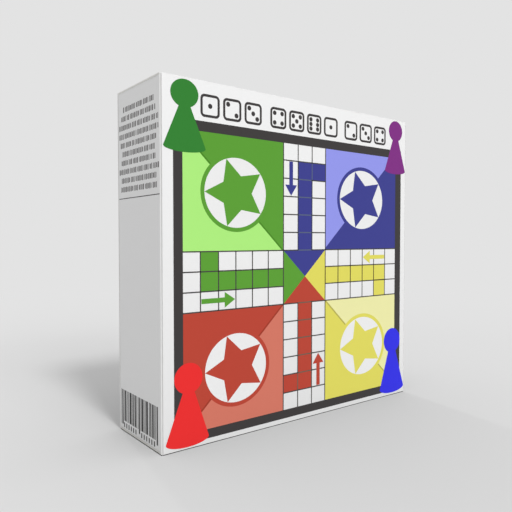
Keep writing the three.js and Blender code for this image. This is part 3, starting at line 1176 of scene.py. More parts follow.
class InkFilm(Shape):
    """All the areas of one ink on one face, drawn flat with X to the right and Y up."""

    buried = 0.06
    mark_corner = 0.42
    mark_spread = 0.46
    mark_pip = 0.22
    star_points = 5
    head_segments = 144
    foot_segments = 72

    def __init__(self, face: PrintFace, ink: Ink) -> None:
        """Starts an empty film.

        Args:
            face: The face it is printed on.
            ink: Its ink.
        """
        super().__init__()
        self.face = face
        self.ink = ink

    def print_faces(self, faces: Sequence[BMFace], coat: Coat) -> None:
        """Draws new flat faces out to the height of a coat.

        Args:
            faces: The faces, at height 0.
            coat: How far the film stands off the card.
        """
        flat = {vert for face in faces for vert in face.verts}
        bmesh.ops.translate(self.mesh, verts=list(flat), vec=(0, 0, -self.buried))
        self.raise_faces(faces, (0, 0, self.buried + coat.value))

    def area(self, points: Sequence[Point], coat: Coat = Coat.FLAT) -> None:
        """Prints an area with straight sides."""
        self.print_faces([self.outline(points)], coat)

    def bar(self, left: float, bottom: float, right: float, top: float, coat: Coat = Coat.FLAT) -> None:
        """Prints an upright rectangle."""
        self.area([(left, bottom), (right, bottom), (right, top), (left, top)], coat)

    def line(self, start: Point, end: Point, width: float, coat: Coat = Coat.LINE) -> None:
        """Prints a straight line.

        Args:
            start: Its first point.
            end: Its last point.
            width: Its width.
            coat: How far the film stands off the card.
        """
        first, last = Vector(start), Vector(end)
        along = (last - first).normalized()
        aside = Vector((-along.y, along.x)) * width / 2
        self.area([tuple(p) for p in (first - aside, last - aside, last + aside, first + aside)], coat)

    def oval(self, centre: Point, radii: Point, coat: Coat, segments: int = 96) -> None:
        """Prints a filled oval.

        Args:
            centre: Its middle.
            radii: Its radii, across and up.
            coat: How far the film stands off the card.
            segments: Number of edges round it.
        """
        matrix = Matrix.Translation((*centre, 0)) @ Matrix.Diagonal((*radii, 1, 1))
        made = bmesh.ops.create_circle(self.mesh, cap_ends=True, segments=segments, radius=1.0, matrix=matrix)
        self.print_faces([made["verts"][0].link_faces[0]], coat)

    def star(self, centre: Point, radii: Point, waist: float, turn: float) -> None:
        """Prints a five-pointed star with one point to the left.

        Args:
            centre: Its middle.
            radii: How far its points reach, across and up.
            waist: Its inner corners' share of that reach.
            turn: How far it is turned on the disc, in radians.
        """
        corners = bmesh.ops.create_circle(self.mesh, cap_ends=True, segments=2 * self.star_points, radius=1.0,
                                          matrix=Matrix.Rotation(QUARTER_TURN, 4, "Z"))["verts"]
        face = corners[0].link_faces[0]
        step = math.pi / self.star_points
        inner = [v for v in corners if round(math.atan2(v.co.y, -v.co.x) / step) % 2]
        bmesh.ops.scale(self.mesh, vec=(waist, waist, 1), verts=inner)
        bmesh.ops.transform(self.mesh, verts=corners,
                            matrix=Matrix.Translation((*centre, 0)) @ Matrix.Diagonal((*radii, 1, 1))
                            @ Matrix.Rotation(turn, 4, "Z"))
        self.print_faces([face], Coat.MARK)

    def die_mark(self, centre: Point, half: float, pips: int, stroke: float = 1.6) -> None:
        """Prints a die's face in outline with its pips.

        Args:
            centre: Its middle.
            half: Half its side.
            pips: How many pips it shows, from 1 to 6.
            stroke: Width of the outline.
        """
        x, y = centre
        face = self.outline([(x + across * half, y + up * half) for across, up in SQUARE])
        face = self.round_corners(face.verts, half * self.mark_corner)
        border = bmesh.ops.inset_individual(self.mesh, faces=[face], thickness=stroke,
                                            use_even_offset=True)["faces"]
        bmesh.ops.delete(self.mesh, geom=[face], context="FACES_ONLY")
        self.print_faces(border, Coat.FLAT)
        spread, pip = half * self.mark_spread, half * self.mark_pip
        for across, up in PIP_PLACES[pips]:
            self.oval((x + across * spread, y + up * spread), (pip, pip), Coat.FLAT, segments=20)

    def pawn(self, figure: "FlatPawn") -> None:
        """Prints a pawn's outline: a round head on a straight-sided skirt with a bowed foot.

        Args:
            figure: The pawn, with its places on the drawing.
        """
        kept_head = self.part_ring(figure.head, figure.head_radii, self.head_segments,
                                   lambda v: v.co.y < figure.head[1]
                                   and abs(v.co.x - figure.head[0]) < figure.neck)
        middle = ((figure.foot_left + figure.foot_right) / 2, figure.foot_level)
        half_width = (figure.foot_right - figure.foot_left) / 2
        kept_foot = self.part_ring(middle, (half_width, figure.bow), self.foot_segments,
                                   lambda v: v.co.y > figure.foot_level + HAIR)
        ends = [sorted((v for v in kept if len(v.link_edges) == 1), key=lambda v: v.co.x)
                for kept in (kept_head, kept_foot)]
        sides = [self.mesh.edges.new(pair) for pair in zip(*ends)]
        edges = list({edge for v in (*kept_head, *kept_foot) for edge in v.link_edges} | set(sides))
        filled = bmesh.ops.contextual_create(self.mesh, geom=edges)["faces"]
        self.print_faces(filled, Coat.FIGURE)

    def part_ring(self, centre: Point, radii: Point, segments: int,
                  hidden: Callable[[BMVert], bool]) -> list[BMVert]:
        """Draws the line of an oval without its hidden part.

        Args:
            centre: Its middle.
            radii: Its radii, across and up.
            segments: Number of edges of the whole oval.
            hidden: Says whether a corner is in the hidden part.

        Returns:
            The corners that are left.
        """
        matrix = Matrix.Translation((*centre, 0)) @ Matrix.Diagonal((*radii, 1, 1))
        ring = bmesh.ops.create_circle(self.mesh, segments=segments, radius=1.0, matrix=matrix)["verts"]
        kept = [v for v in ring if not hidden(v)]
        bmesh.ops.delete(self.mesh, geom=[v for v in ring if hidden(v)], context="VERTS")
        return kept

    def laid(self, name: str) -> None:
        """Lays the film on its face as a finished piece of the given name."""
        self.move(self.face.matrix())
        self.piece(name, Body.CARTON, [self.ink.finish()], slot="carton_card")


SQUARE: tuple[Point, ...] = ((-1, -1), (1, -1), (1, 1), (-1, 1))
PIP_PLACES: dict[int, list[Point]] = {
    1: [(0, 0)],
    2: [(-1, 1), (1, -1)],
    3: [(-1, 1), (0, 0), (1, -1)],
    4: [(-1, 1), (1, 1), (-1, -1), (1, -1)],
    5: [(-1, 1), (1, 1), (0, 0), (-1, -1), (1, -1)],
    6: [(-1, 1), (1, 1), (-1, 0), (1, 0), (-1, -1), (1, -1)],
}


@dataclass(frozen=True)
class FlatPawn:
    """A printed pawn figure, with its places from the face's left and top edges.

    The neck is half the width where the skirt meets the head, and the foot bows below its corners.
    """

    ink: Ink
    head: Point
    head_radii: Point
    neck: float
    foot_left: float
    foot_right: float
    foot_level: float
    bow: float


@dataclass(frozen=True)
class Yard:
    """A team's corner of the board, split along its diagonal into two tones.

    The corner's column and row are those of its first square. The ends of the fold between the tones
    lie a little off the corner's own corners, by fold_slip, towards the tint. Its disc is printed a
    little off its middle, by disc_shift, to the right and up.
    """

    column: int
    row: int
    ink: Ink
    tint: Ink
    fold: Ink
    falls: bool
    full_above: bool
    fold_slip: Point
    disc_shift: Point


@dataclass
class BoardPrint:
    """The ludo board on the front, its frame, the four pawn figures and the row of die marks.

    Places are read from the face's left edge and top edge, and turned into the drawing's own by at().
    """

    face_half: float = 111.2
    board_left: float = 13.53
    board_right: float = 209.55
    board_top: float = 29.5
    board_bottom: float = 211.3
    frame_outer: tuple[float, float, float, float] = (8.4, 24.1, 215.7, 216.5)
    frame_inner: tuple[float, float, float, float] = (14.6, 30.25, 208.9, 210.7)
    hidden_corner: float = 1.6
    squares: int = 15
    yard_squares: int = 6
    rule_width: float = 0.8
    fold_width: float = 1.1
    disc_squares: float = 1.803
    ring_squares: float = 2.02
    star_waist: float = 0.51
    star_turn: float = math.radians(0.65)
    arrow_tail: float = 1.05
    arrow_tip: float = 2.95
    arrow_head: float = 0.6
    arrow_barb: float = 0.8
    arrow_shaft: float = 0.25
    arrow_lane: float = 8.485
    lane_inset: float = 0.03
    first_mark: float = 27.0
    mark_half: float = 6.9
    mark_pitch: float = 16.3
    mark_group_gap: float = 4.6
    marks_middle: float = 14.6
    mark_groups: tuple[int, ...] = (3, 4, 3)

    FIGURES = (
        FlatPawn(Ink.PAWN_GREEN, (16.2, 9.6), (9.4, 8.3), 3.7, 2.0, 30.6, 40.75, 3.0),
        FlatPawn(Ink.PAWN_PURPLE, (208.8, 8.9), (8.2, 8.0), 3.4, 196.1, 220.8, 40.2, 2.7),
        FlatPawn(Ink.PAWN_RED, (18.2, 177.5), (9.7, 9.3), 3.8, 2.8, 32.3, 214.6, 4.0),
        FlatPawn(Ink.PAWN_BLUE, (206.0, 175.8), (9.8, 9.8), 4.4, 191.7, 220.8, 214.0, 4.0),
    )
    LANES = (
        (Ink.GREEN, Ink.LINE),
        (Ink.BLUE, Ink.BLUE_LINE),
        (Ink.YELLOW, Ink.YELLOW_LINE),
        (Ink.RED, Ink.RED_LINE),
    )
    YARDS = (
        Yard(0, 0, Ink.GREEN, Ink.GREEN_TINT, Ink.GREEN_FOLD, falls=True, full_above=True,
             fold_slip=(0.95, 0.45), disc_shift=(0.43, 0.15)),
        Yard(9, 0, Ink.BLUE, Ink.BLUE_TINT, Ink.BLUE, falls=False, full_above=False,
             fold_slip=(0.5, 1.35), disc_shift=(-0.95, 0.75)),
        Yard(0, 9, Ink.RED, Ink.RED_TINT, Ink.RED_FOLD, falls=False, full_above=True,
             fold_slip=(0.45, -0.2), disc_shift=(0.56, -1.1)),
        Yard(9, 9, Ink.YELLOW, Ink.YELLOW_TINT, Ink.YELLOW_FOLD, falls=True, full_above=False,
             fold_slip=(0.1, 0.0), disc_shift=(0.0, -0.85)),
    )

    def __post_init__(self) -> None:
        """Starts one film for each ink of the face."""
        self.films = {ink: InkFilm(PrintFace.FRONT, ink) for ink in Ink if ink not in (Ink.GREY, Ink.BLACK)}

    def at(self, x: float, y: float) -> Point:
        """A place on the drawing from its distance to the left and top edges."""
        return x - self.face_half, SIZES.height - y

    def square(self, column: float, row: float) -> Point:
        """The upper left corner of a square of the board, on the drawing."""
        width, height = self.square_size()
        return self.at(self.board_left + column * width, self.board_top + row * height)

    def square_size(self) -> Point:
        """Width and height of one square."""
        return ((self.board_right - self.board_left) / self.squares,
                (self.board_bottom - self.board_top) / self.squares)

    def build(self) -> None:
        """Prints every part of the face and lays the films."""
        self.frame()
        for yard in self.YARDS:
            self.yard(yard)
        self.home_lanes()
        self.rules()
        self.figures()
        self.die_marks()
        for ink, film in self.films.items():
            film.laid(f"front_print_{ink.word}")

    def frame(self) -> None:
        """The charcoal band round the board, without the corner that the green pawn stands over."""
        film = self.films[Ink.CHARCOAL]
        outer_left, outer_top = self.at(*self.frame_outer[:2])
        outer_right, outer_bottom = self.at(*self.frame_outer[2:])
        inner_left, inner_top = self.at(*self.frame_inner[:2])
        inner_right, inner_bottom = self.at(*self.frame_inner[2:])
        for bar in (
            (outer_left + self.hidden_corner, inner_top, outer_right, outer_top),
            (outer_left, outer_bottom, outer_right, inner_bottom),
            (outer_left, inner_bottom, inner_left, inner_top),
            (inner_right, inner_bottom, outer_right, inner_top),
        ):
            film.bar(*bar, Coat.DISC)

    def yard(self, yard: Yard) -> None:
        """A team's corner: two tones, the line where they meet, and a star on a ringed disc.

        Args:
            yard: The corner.
        """
        count = self.yard_squares
        left, top = self.square(yard.column, yard.row)
        right, bottom = self.square(yard.column + count, yard.row + count)
        if yard.falls:
            start, end, above, below = (left, top), (right, bottom), (right, top), (left, bottom)
        else:
            start, end, above, below = (left, bottom), (right, top), (left, top), (right, bottom)
        tint_corner = Vector(below if yard.full_above else above)
        start, end = (tuple(Vector(point) + (tint_corner - Vector(point)).normalized() * slip)
                      for point, slip in zip((start, end), yard.fold_slip))
        self.films[yard.ink].bar(left, bottom, right, top)
        self.films[yard.tint].area([start, tuple(tint_corner), end], Coat.TINT)
        self.films[yard.fold].line(start, end, self.fold_width, Coat.FOLD)
        centre = ((left + right) / 2 + yard.disc_shift[0], (top + bottom) / 2 + yard.disc_shift[1])
        ring, disc = (tuple(reach * side for side in self.square_size())
                      for reach in (self.ring_squares, self.disc_squares))
        self.films[yard.ink].oval(centre, ring, Coat.LINE)
        self.films[Ink.PAPER].oval(centre, disc, Coat.DISC)
        self.films[yard.ink].star(centre, disc, self.star_waist, self.star_turn)

    def turned(self, column: float, row: float, quarters: int) -> Point:
        """A place on the drawing, turned about the board's middle.

        Args:
            column: Its column, for the team on the left.
            row: Its row, for the team on the left.
            quarters: How many quarter turns clockwise it moves.

        Returns:
            The place.
        """
        for _ in range(quarters):
            column, row = self.squares - row, column
        return self.square(column, row)

    def home_lanes(self) -> None:
        """Each team's lane to the middle, start square, arrow and part of the middle, as quarter turns.

        The lines across a lane are printed once more, paler on blue and red and darker on yellow.
        """
        arm = self.yard_squares
        lane, after_lane = arm + 1, arm + 2
        half_way = self.squares / 2
        near, far = lane + self.lane_inset, after_lane - self.lane_inset
        crossings = [((column, near), (column, far)) for column in range(2, arm + 1)]
        crossings.append(((1 + self.lane_inset, lane), (2 - self.lane_inset, lane)))
        areas = (
            (((1, lane), (arm, lane), (arm, after_lane), (1, after_lane)), Coat.FLAT),
            (((1, arm), (2, arm), (2, lane), (1, lane)), Coat.FLAT),
            (((arm, arm), (half_way, half_way), (arm, self.squares - arm)), Coat.FLAT),
            (self.arrow_outline(), Coat.MARK),
        )
        for quarters, (ink, crossing_ink) in enumerate(self.LANES):
            for start, end in crossings:
                self.films[crossing_ink].line(self.turned(*start, quarters), self.turned(*end, quarters),
                                              self.rule_width, Coat.DISC)
            for corners, coat in areas:
                self.films[ink].area([self.turned(*corner, quarters) for corner in corners], coat)

    def arrow_outline(self) -> list[Point]:
        """The arrow of the team on the left, in columns and rows.

        Returns:
            Its corners.
        """
        middle = self.arrow_lane
        neck = self.arrow_tip - self.arrow_head
        shaft, barb = self.arrow_shaft / 2, self.arrow_barb / 2
        return [(self.arrow_tail, middle - shaft), (neck, middle - shaft), (neck, middle - barb),
                (self.arrow_tip, middle), (neck, middle + barb), (neck, middle + shaft),
                (self.arrow_tail, middle + shaft)]

    def rules(self) -> None:
        """The thin lines between the squares of the four arms."""
        first, last, full = self.yard_squares, self.squares - self.yard_squares, self.squares
        spans = []
        for index in range(1, full):
            reaches = ((0, first), (last, full)) if first <= index <= last else ((first, last),)
            spans += [(index, reach) for reach in reaches]
        spans += [(index, (first, last)) for index in (first, last)]
        for index, (start, end) in spans:
            for line in (((index, start), (index, end)), ((start, index), (end, index))):
                self.films[Ink.LINE].line(*(self.square(*place) for place in line), self.rule_width)

    def figures(self) -> None:
        """The four flat pawns over the corners of the frame."""
        for figure in self.FIGURES:
            left, level = self.at(figure.foot_left, figure.foot_level)
            right, _ = self.at(figure.foot_right, figure.foot_level)
            drawn = replace(figure, head=self.at(*figure.head), foot_left=left, foot_right=right,
                            foot_level=level)
            self.films[figure.ink].pawn(drawn)

    def die_marks(self) -> None:
        """A row of plain die faces where the photographed box has its title."""
        film = self.films[Ink.CHARCOAL]
        middle = self.first_mark + self.mark_half
        pips = 0
        for count in self.mark_groups:
            for _ in range(count):
                pips = pips % len(PIP_PLACES) + 1
                film.die_mark(self.at(middle, self.marks_middle), self.mark_half, pips)
                middle += self.mark_pitch
            middle += self.mark_group_gap


@dataclass
class SidePrint:
    """The left side: ten lines of small grey ticks, a thin rule and a block of plain stripes."""

    back_edge: float = 29.15
    line_extents: tuple[Point, ...] = (
        (8.4, 50.4), (5.6, 53.6), (2.4, 56.0), (2.4, 57.0), (4.4, 54.0),
        (7.0, 52.4), (5.6, 52.4), (2.4, 56.8), (5.6, 53.6), (4.8, 54.4),
    )
    first_line: float = 12.6
    line_pitch: float = 5.61
    word_height: float = 3.4
    tick_gap: float = 0.65
    word_gap: float = 0.9
    least_tick: float = 0.5
    rule_at: float = 68.8
    stripes_top: float = 192.6
    stripes_bottom: float = 212.8
    guard_bottom: float = 215.4
    rule_extent: Point = (1.5, 57.5)
    rule_half: float = 0.25
    block_extent: Point = (2.6, 55.2)
    last_start: float = 54.0
    first_guards: int = 2
    last_guards: float = 52.0
    middle_guards: Point = (27.5, 30.5)
    tick_groups: Point = (6.4, 31.6)
    ticks_in_group: int = 6
    tick_pitch: float = 3.4
    tick_width: float = 1.3
    tick_drop: Point = (1.2, 1.7)

    def at(self, x: float, y: float) -> Point:
        """A place on the drawing from its distance to the back edge and the top."""
        return x - self.back_edge, SIZES.height - y

    def build(self) -> None:
        """Prints the side and lays its films."""
        self.word_ticks().laid("side_print_words")
        self.stripes().laid("side_print_stripes")

    def word_ticks(self) -> InkFilm:
        """Lines of small upright ticks, grouped like words, in place of the photographed text.

        Returns:
            The film.
        """
        film = InkFilm(PrintFace.LEFT, Ink.GREY)
        words = (1, 8, 5, 4, 4, 2, 7, 3, 6, 10, 3, 4, 5, 3, 4, 8)
        widths = (1.5, 1.1, 1.4, 0.7, 1.3, 1.5, 1.0)
        heights = (1.0, 0.86, 1.0, 0.93)
        tick = word = 0
        for index, (left, right) in enumerate(self.line_extents):
            middle = self.first_line + index * self.line_pitch
            x = left
            left_in_word = words[word % len(words)]
            while x < right - self.least_tick:
                width = min(widths[tick % len(widths)], right - x)
                half = self.word_height / 2 * heights[tick % len(heights)]
                film.bar(*self.at(x, middle + half), *self.at(x + width, middle - half))
                tick += 1
                left_in_word -= 1
                x += width + self.tick_gap
                if left_in_word == 0:
                    x += self.word_gap
                    word += 1
                    left_in_word = words[word % len(words)]
        return film

    def stripes(self) -> InkFilm:
        """The thin rule, and a block of plain stripes in place of the photographed code.

        Returns:
            The film.
        """
        film = InkFilm(PrintFace.LEFT, Ink.BLACK)
        rule_start, rule_end = self.rule_extent
        film.bar(*self.at(rule_start, self.rule_at + self.rule_half),
                 *self.at(rule_end, self.rule_at - self.rule_half))
        widths = (0.7, 1.6, 0.7, 2.2, 1.0, 0.7, 2.4, 0.9, 1.4, 1.9, 0.7)
        gaps = (0.7, 1.1, 0.6, 1.5, 0.7, 1.0, 0.6)
        x, block_end = self.block_extent
        index = 0
        while x < self.last_start:
            width = min(widths[index % len(widths)], block_end - x)
            at_middle = self.middle_guards[0] < x < self.middle_guards[1]
            guard = index < self.first_guards or x > self.last_guards or at_middle
            bottom = self.guard_bottom if guard else self.stripes_bottom
            film.bar(*self.at(x, bottom), *self.at(x + width, self.stripes_top))
            x += width + gaps[index % len(gaps)]
            index += 1
        tick_top, tick_bottom = self.stripes_bottom + self.tick_drop[0], self.guard_bottom + self.tick_drop[1]
        for group in self.tick_groups:
            for tick in range(self.ticks_in_group):
                left = group + tick * self.tick_pitch
                film.bar(*self.at(left, tick_bottom), *self.at(left + self.tick_width, tick_top))
        return film


def dress_packed(node: str, finish: Finish) -> None:
    """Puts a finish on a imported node."""
    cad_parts[node].material_slots[0].material = finish.material()
    log.info("%s: packed node, in %s", node, finish.name)


def packed_box(node: str) -> tuple[Vector, Vector]:
    """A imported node's lowest and highest corner in millimetres."""
    low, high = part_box(node)
    return low / MILLIMETRE, high / MILLIMETRE


def packed_middle(node: str) -> Vector:
    """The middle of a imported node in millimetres."""
    low, high = packed_box(node)
    return (low + high) / 2


def pawn_nodes(in_team: int = 4) -> list[tuple[Team, str]]:
    """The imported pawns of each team, with their team."""
    return [(team, f"pawn_{team.word}_{index + 1}") for team in Team for index in range(in_team)]


@dataclass
class PieceStand:
    """The folded card stand: a deck with a place for each piece, over a shelf."""

    hole_radius: float = 7.5
    square_half: float = 7.5
    fold_radius: float = 0.75
    hole_segments: int = 56

    def build(self) -> None:
        """Makes the deck and dresses the shelf and walls."""
        self.deck()
        for node in ("insert_front_wall", "insert_rear_wall", "insert_shelf", "shelf_front_wall",
                     "shelf_rear_wall"):
            dress_packed(node, STAND_CARD)

    def deck(self) -> None:
        """The deck, with its round and square holes and its two folded edges."""
        low, high = packed_box("insert_deck")
        shape = Shape()
        rim = shape.outline([(low.x, low.y), (high.x, low.y), (high.x, high.y), (low.x, high.y)])
        bmesh.ops.delete(shape.mesh, geom=[rim], context="FACES_ONLY")
        for _, node in pawn_nodes():
            middle = packed_middle(node)
            bmesh.ops.create_circle(shape.mesh, segments=self.hole_segments, radius=self.hole_radius,
                                    matrix=Matrix.Translation((middle.x, middle.y, 0)))
        for node in ("die_1", "die_2"):
            middle = packed_middle(node)
            half = self.square_half
            hole = shape.outline([(middle.x + u * half, middle.y + v * half) for u, v in SQUARE])
            bmesh.ops.delete(shape.mesh, geom=[hole], context="FACES_ONLY")
        bmesh.ops.triangle_fill(shape.mesh, use_beauty=True, use_dissolve=False, edges=shape.mesh.edges[:])
        thickness = high.z - low.z
        shape.raise_faces(shape.mesh.faces[:], (0, 0, thickness))
        shape.soften(lambda edge: runs_along(edge, 0)
                     and all(vert.co.z > thickness - HAIR and not low.y + HAIR < vert.co.y < high.y - HAIR
                             for vert in edge.verts), self.fold_radius, segments=5)
        shape.move(Matrix.Translation((0, 0, low.z)))

        def hole_edge(face: BMFace) -> int:
            """Which finish a face has.

            Args:
                face: The face.

            Returns:
                1 on the cut edge of a hole, and 0 on the card's faces and folds.
            """
            middle = face.calc_center_median()
            at_fold = middle.y < low.y + self.fold_radius or middle.y > high.y - self.fold_radius
            return 0 if at_fold or looks_along(face, 2) else 1

        shape.piece("stand_deck", Body.CARTON, [STAND_CARD, CARD_EDGE], hole_edge, ["insert_deck"],
                    "stand_card")


@dataclass
class FoldedBoard:
    """The playing board, folded to a quarter of its size, with its three cloth hinges."""

    leaves: int = 4
    leaf_softening: float = 0.3
    cloth: float = 0.09
    lap: float = 7.5

    def build(self) -> None:
        """Makes the four leaves and the hinges."""
        for index in range(self.leaves):
            self.leaf(index + 1)
        for index, over_top in ((1, True), (2, False), (3, True)):
            self.hinge(index, over_top)

    def leaf(self, index: int) -> None:
        """One leaf, wrapped in cover paper.

        Args:
            index: Its number, from the front.
        """
        low, high = packed_box(f"board_leaf_{index}")
        shape = Shape()
        shape.block(tuple(low), tuple(high))
        shape.soften(lambda edge: True, self.leaf_softening, segments=3)
        shape.piece(f"leaf_{index}", Body.CARTON, [BOARD_COVER], replaces=[f"board_leaf_{index}"],
                    slot="board_cover")

    def hinge(self, index: int, over_top: bool) -> None:
        """A strip of cloth glued round the edges of a leaf and of the one behind it.

        Args:
            index: Its number, which is also its front leaf's.
            over_top: Whether it goes over their top edges, or else round their right-hand ones.
        """
        node = f"board_tape_{index}"
        low, high = packed_box(node)
        out, along = (2, 0) if over_top else (0, 2)
        front_y = packed_box(f"board_leaf_{index}")[0].y
        rear_y = packed_box(f"board_leaf_{index + 1}")[1].y
        shoulder = low[out] - self.leaf_softening
        straight = rear_y - front_y - 2 * self.leaf_softening

        def place(outward: float, y: float, lengthways: float = 0.0) -> Place:
            """A point by its place across, behind and along the fold.

            Args:
                outward: How far out it is.
                y: How far back it is.
                lengthways: Where it is along the fold.

            Returns:
                The point.
            """
            spot = [0.0, y, 0.0]
            spot[out], spot[along] = outward, lengthways
            return tuple(spot)

        axis = place(0.0, 0.0, -1.0 if over_top else 1.0)
        strip = FoldedStrip(place(shoulder - self.lap, front_y - self.cloth, low[along]),
                            place(shoulder - self.lap, front_y, high[along]))
        strip.run(place(self.lap, 0.0))
        strip.bend(place(shoulder, front_y + self.leaf_softening), axis, QUARTER_TURN, steps=5)
        strip.run(place(0.0, straight))
        strip.bend(place(shoulder, rear_y - self.leaf_softening), axis, QUARTER_TURN, steps=5)
        strip.run(place(-self.lap, 0.0))
        made = strip.piece(f"{node}_cloth", Body.CARTON, [HINGE_CLOTH], replaces=[node], slot="cloth_tape")


@dataclass
class RulesLeaflet:
    """The leaflet, one sheet folded twice into three layers."""

    sheet: float = 0.12
    fold_gap: float = 0.06

    def build(self) -> None:
        """Makes the leaflet."""
        low, high = packed_box("rules_leaflet")
        radius = self.fold_gap + self.sheet
        strip = FoldedStrip((low.x, high.y - self.sheet, high.z), (high.x, high.y, high.z))
        strip.run((0, 0, low.z - high.z + radius))
        strip.bend((0, high.y - radius, low.z + radius), (1, 0, 0), -math.pi)
        strip.run((0, 0, high.z - low.z - 2 * radius))
        strip.bend((0, high.y - 2 * radius - self.fold_gap, high.z - radius), (1, 0, 0), math.pi)
        strip.run((0, 0, low.z - high.z + radius))
        strip.piece("leaflet", Body.CARTON, [LEAFLET_PAPER], replaces=["rules_leaflet"], slot="leaflet_paper")


@dataclass
class PawnSet:
    """Sixteen turned pawns, four of each team."""

    height: float = 24.0
    base_radius: float = 7.0
    foot_height: float = 1.6
    foot_chamfer: float = 0.5
    neck_radius: float = 1.8
    head_radius: float = 5.0
    hollow_radius: float = 5.2
    hollow_depth: float = 1.2
    hollow_slope: float = 0.4
    shoulder: float = 0.55
    neck_flare: Point = (0.25, 1.0)
    head_steps: int = 18
    segments: int = 48

    def build(self) -> None:
        """Makes every pawn in its place."""
        for team, node in pawn_nodes():
            self.pawn(team, node)

    def pawn(self, team: Team, node: str) -> None:
        """One pawn, spun from its half section.

        Args:
            team: The team it belongs to.
            node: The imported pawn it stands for.
        """
        shape = Shape()
        head_middle = self.height - self.head_radius
        neck_angle = math.asin(self.neck_radius / self.head_radius)
        neck_height = head_middle - self.head_radius * math.cos(neck_angle)
        section = [
            (0.0, self.hollow_depth),
            (self.hollow_radius - self.hollow_slope, self.hollow_depth),
            (self.hollow_radius, 0.0),
            (self.base_radius - self.foot_chamfer, 0.0),
            (self.base_radius, self.foot_chamfer),
            (self.base_radius, self.foot_height),
            (self.base_radius - self.shoulder, self.foot_height + self.shoulder),
            (self.neck_radius + self.neck_flare[0], neck_height - self.neck_flare[1]),
            (self.neck_radius, neck_height),
        ]
        corners = [shape.mesh.verts.new((r, 0.0, z)) for r, z in section]
        for pair in zip(corners, corners[1:]):
            shape.mesh.edges.new(pair)
        bmesh.ops.spin(shape.mesh, geom=[corners[-1]], cent=(0, 0, head_middle), axis=(0, 1, 0),
                       dvec=(0, 0, 0), angle=neck_angle - math.pi, steps=self.head_steps, use_merge=False,
                       use_duplicate=False)
        bmesh.ops.spin(shape.mesh, geom=[*shape.mesh.verts, *shape.mesh.edges], cent=(0, 0, 0),
                       axis=(0, 0, 1), dvec=(0, 0, 0), angle=2 * math.pi, steps=self.segments,
                       use_merge=True, use_duplicate=False)
        bmesh.ops.remove_doubles(shape.mesh, verts=shape.mesh.verts[:], dist=0.001)
        low, high = packed_box(node)
        shape.move(Matrix.Translation(((low.x + high.x) / 2, (low.y + high.y) / 2, low.z)))
        finish = pawn_plastic(team)
        shape.piece(f"{node}_turned", Body.CARTON, [finish], replaces=[node], slot=finish.name, sharp=50.0)


class DieTurn(Enum):
    """How each die lies, as the number it shows on its +X, +Y and +Z faces."""

    FIRST = (3, 1, 5)
    SECOND = (2, 4, 6)


@dataclass
class DicePair:
    """Two dice with hollowed, painted pips."""

    side: float = 14.0
    edge_radius: float = 1.4
    pip_radius: float = 1.5
    pip_depth: float = 0.55
    pip_spread: float = 3.7

    def build(self) -> None:
        """Makes both dice."""
        for index, turn in enumerate(DieTurn, start=1):
            self.die(f"die_{index}", turn)

    def die(self, node: str, turn: DieTurn) -> None:
        """One die with its pips cut in.

        Args:
            node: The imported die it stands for.
            turn: How it lies.
        """
        middle = packed_middle(node)
        half = self.side / 2
        shape = Shape()
        shape.block((-half,) * 3, (half,) * 3)
        shape.soften(lambda edge: True, self.edge_radius, segments=5)
        shape.move(Matrix.Translation(middle))
        made = shape.piece(f"{node}_pipped", Body.CARTON, [DIE_PLASTIC, PIP_PAINT], replaces=[node],
                           slot="die_plastic", sharp=40.0)
        cutter = self.pip_cutter(middle, turn)
        cut = made.modifiers.new("pips", "BOOLEAN")
        cut.operation, cut.object, cut.solver = "DIFFERENCE", cutter, "EXACT"
        cut.material_mode = "TRANSFER"
        bpy.context.view_layer.update()
        seen = made.evaluated_get(bpy.context.evaluated_depsgraph_get())
        hollowed = bpy.data.meshes.new_from_object(seen)
        made.modifiers.remove(cut)
        made.data = hollowed
        bpy.data.objects.remove(cutter)

    def pip_cutter(self, middle: Vector, turn: DieTurn) -> Object:
        """Flattened balls at every pip, to be cut from a die.

        Args:
            middle: Middle of the die.
            turn: How it lies.

        Returns:
            The cutting object.
        """
        mesh = bmesh.new()
        half = self.side / 2
        for axis, number in enumerate(turn.value):
            for sign, shown in ((1, number), (-1, len(PIP_PLACES) + 1 - number)):
                out = Vector([sign if index == axis else 0 for index in range(3)])
                turned = out.to_track_quat("Z", "Y").to_matrix().to_4x4()
                for across, up in PIP_PLACES[shown]:
                    place = Matrix.Translation((across * self.pip_spread, up * self.pip_spread, half))
                    flat = Matrix.Diagonal((self.pip_radius, self.pip_radius, self.pip_depth, 1))
                    bmesh.ops.create_uvsphere(mesh, u_segments=24, v_segments=12, radius=1.0,
                                              matrix=turned @ place @ flat)
        bmesh.ops.translate(mesh, verts=mesh.verts[:], vec=middle)
        bmesh.ops.scale(mesh, vec=(MILLIMETRE,) * 3, verts=mesh.verts[:])
        data = bpy.data.meshes.new("pip_cutter")
        mesh.to_mesh(data)
        mesh.free()
        data.materials.append(PIP_PAINT.material())
        cutter = bpy.data.objects.new("pip_cutter", data)
        bpy.context.scene.collection.objects.link(cutter)
        return cutter


@dataclass(frozen=True)
class Lamp:
    """A distant lamp: its name, its strength, how wide it is and the way that it comes from."""

    name: str
    strength: float
    degrees_wide: float
    comes_from: Place

    def hang(self) -> None:
        """Puts the lamp into the scene."""
        lamp = bpy.data.lights.new(self.name, "SUN")
        lamp.energy, lamp.angle = self.strength, math.radians(self.degrees_wide)
        made = bpy.data.objects.new(self.name, lamp)
        made.rotation_mode = "QUATERNION"
        made.rotation_quaternion = Vector(self.comes_from).to_track_quat("Z", "Y")
        bpy.context.scene.collection.objects.link(made)
        log.info("%s: strength %.2f", self.name, self.strength)


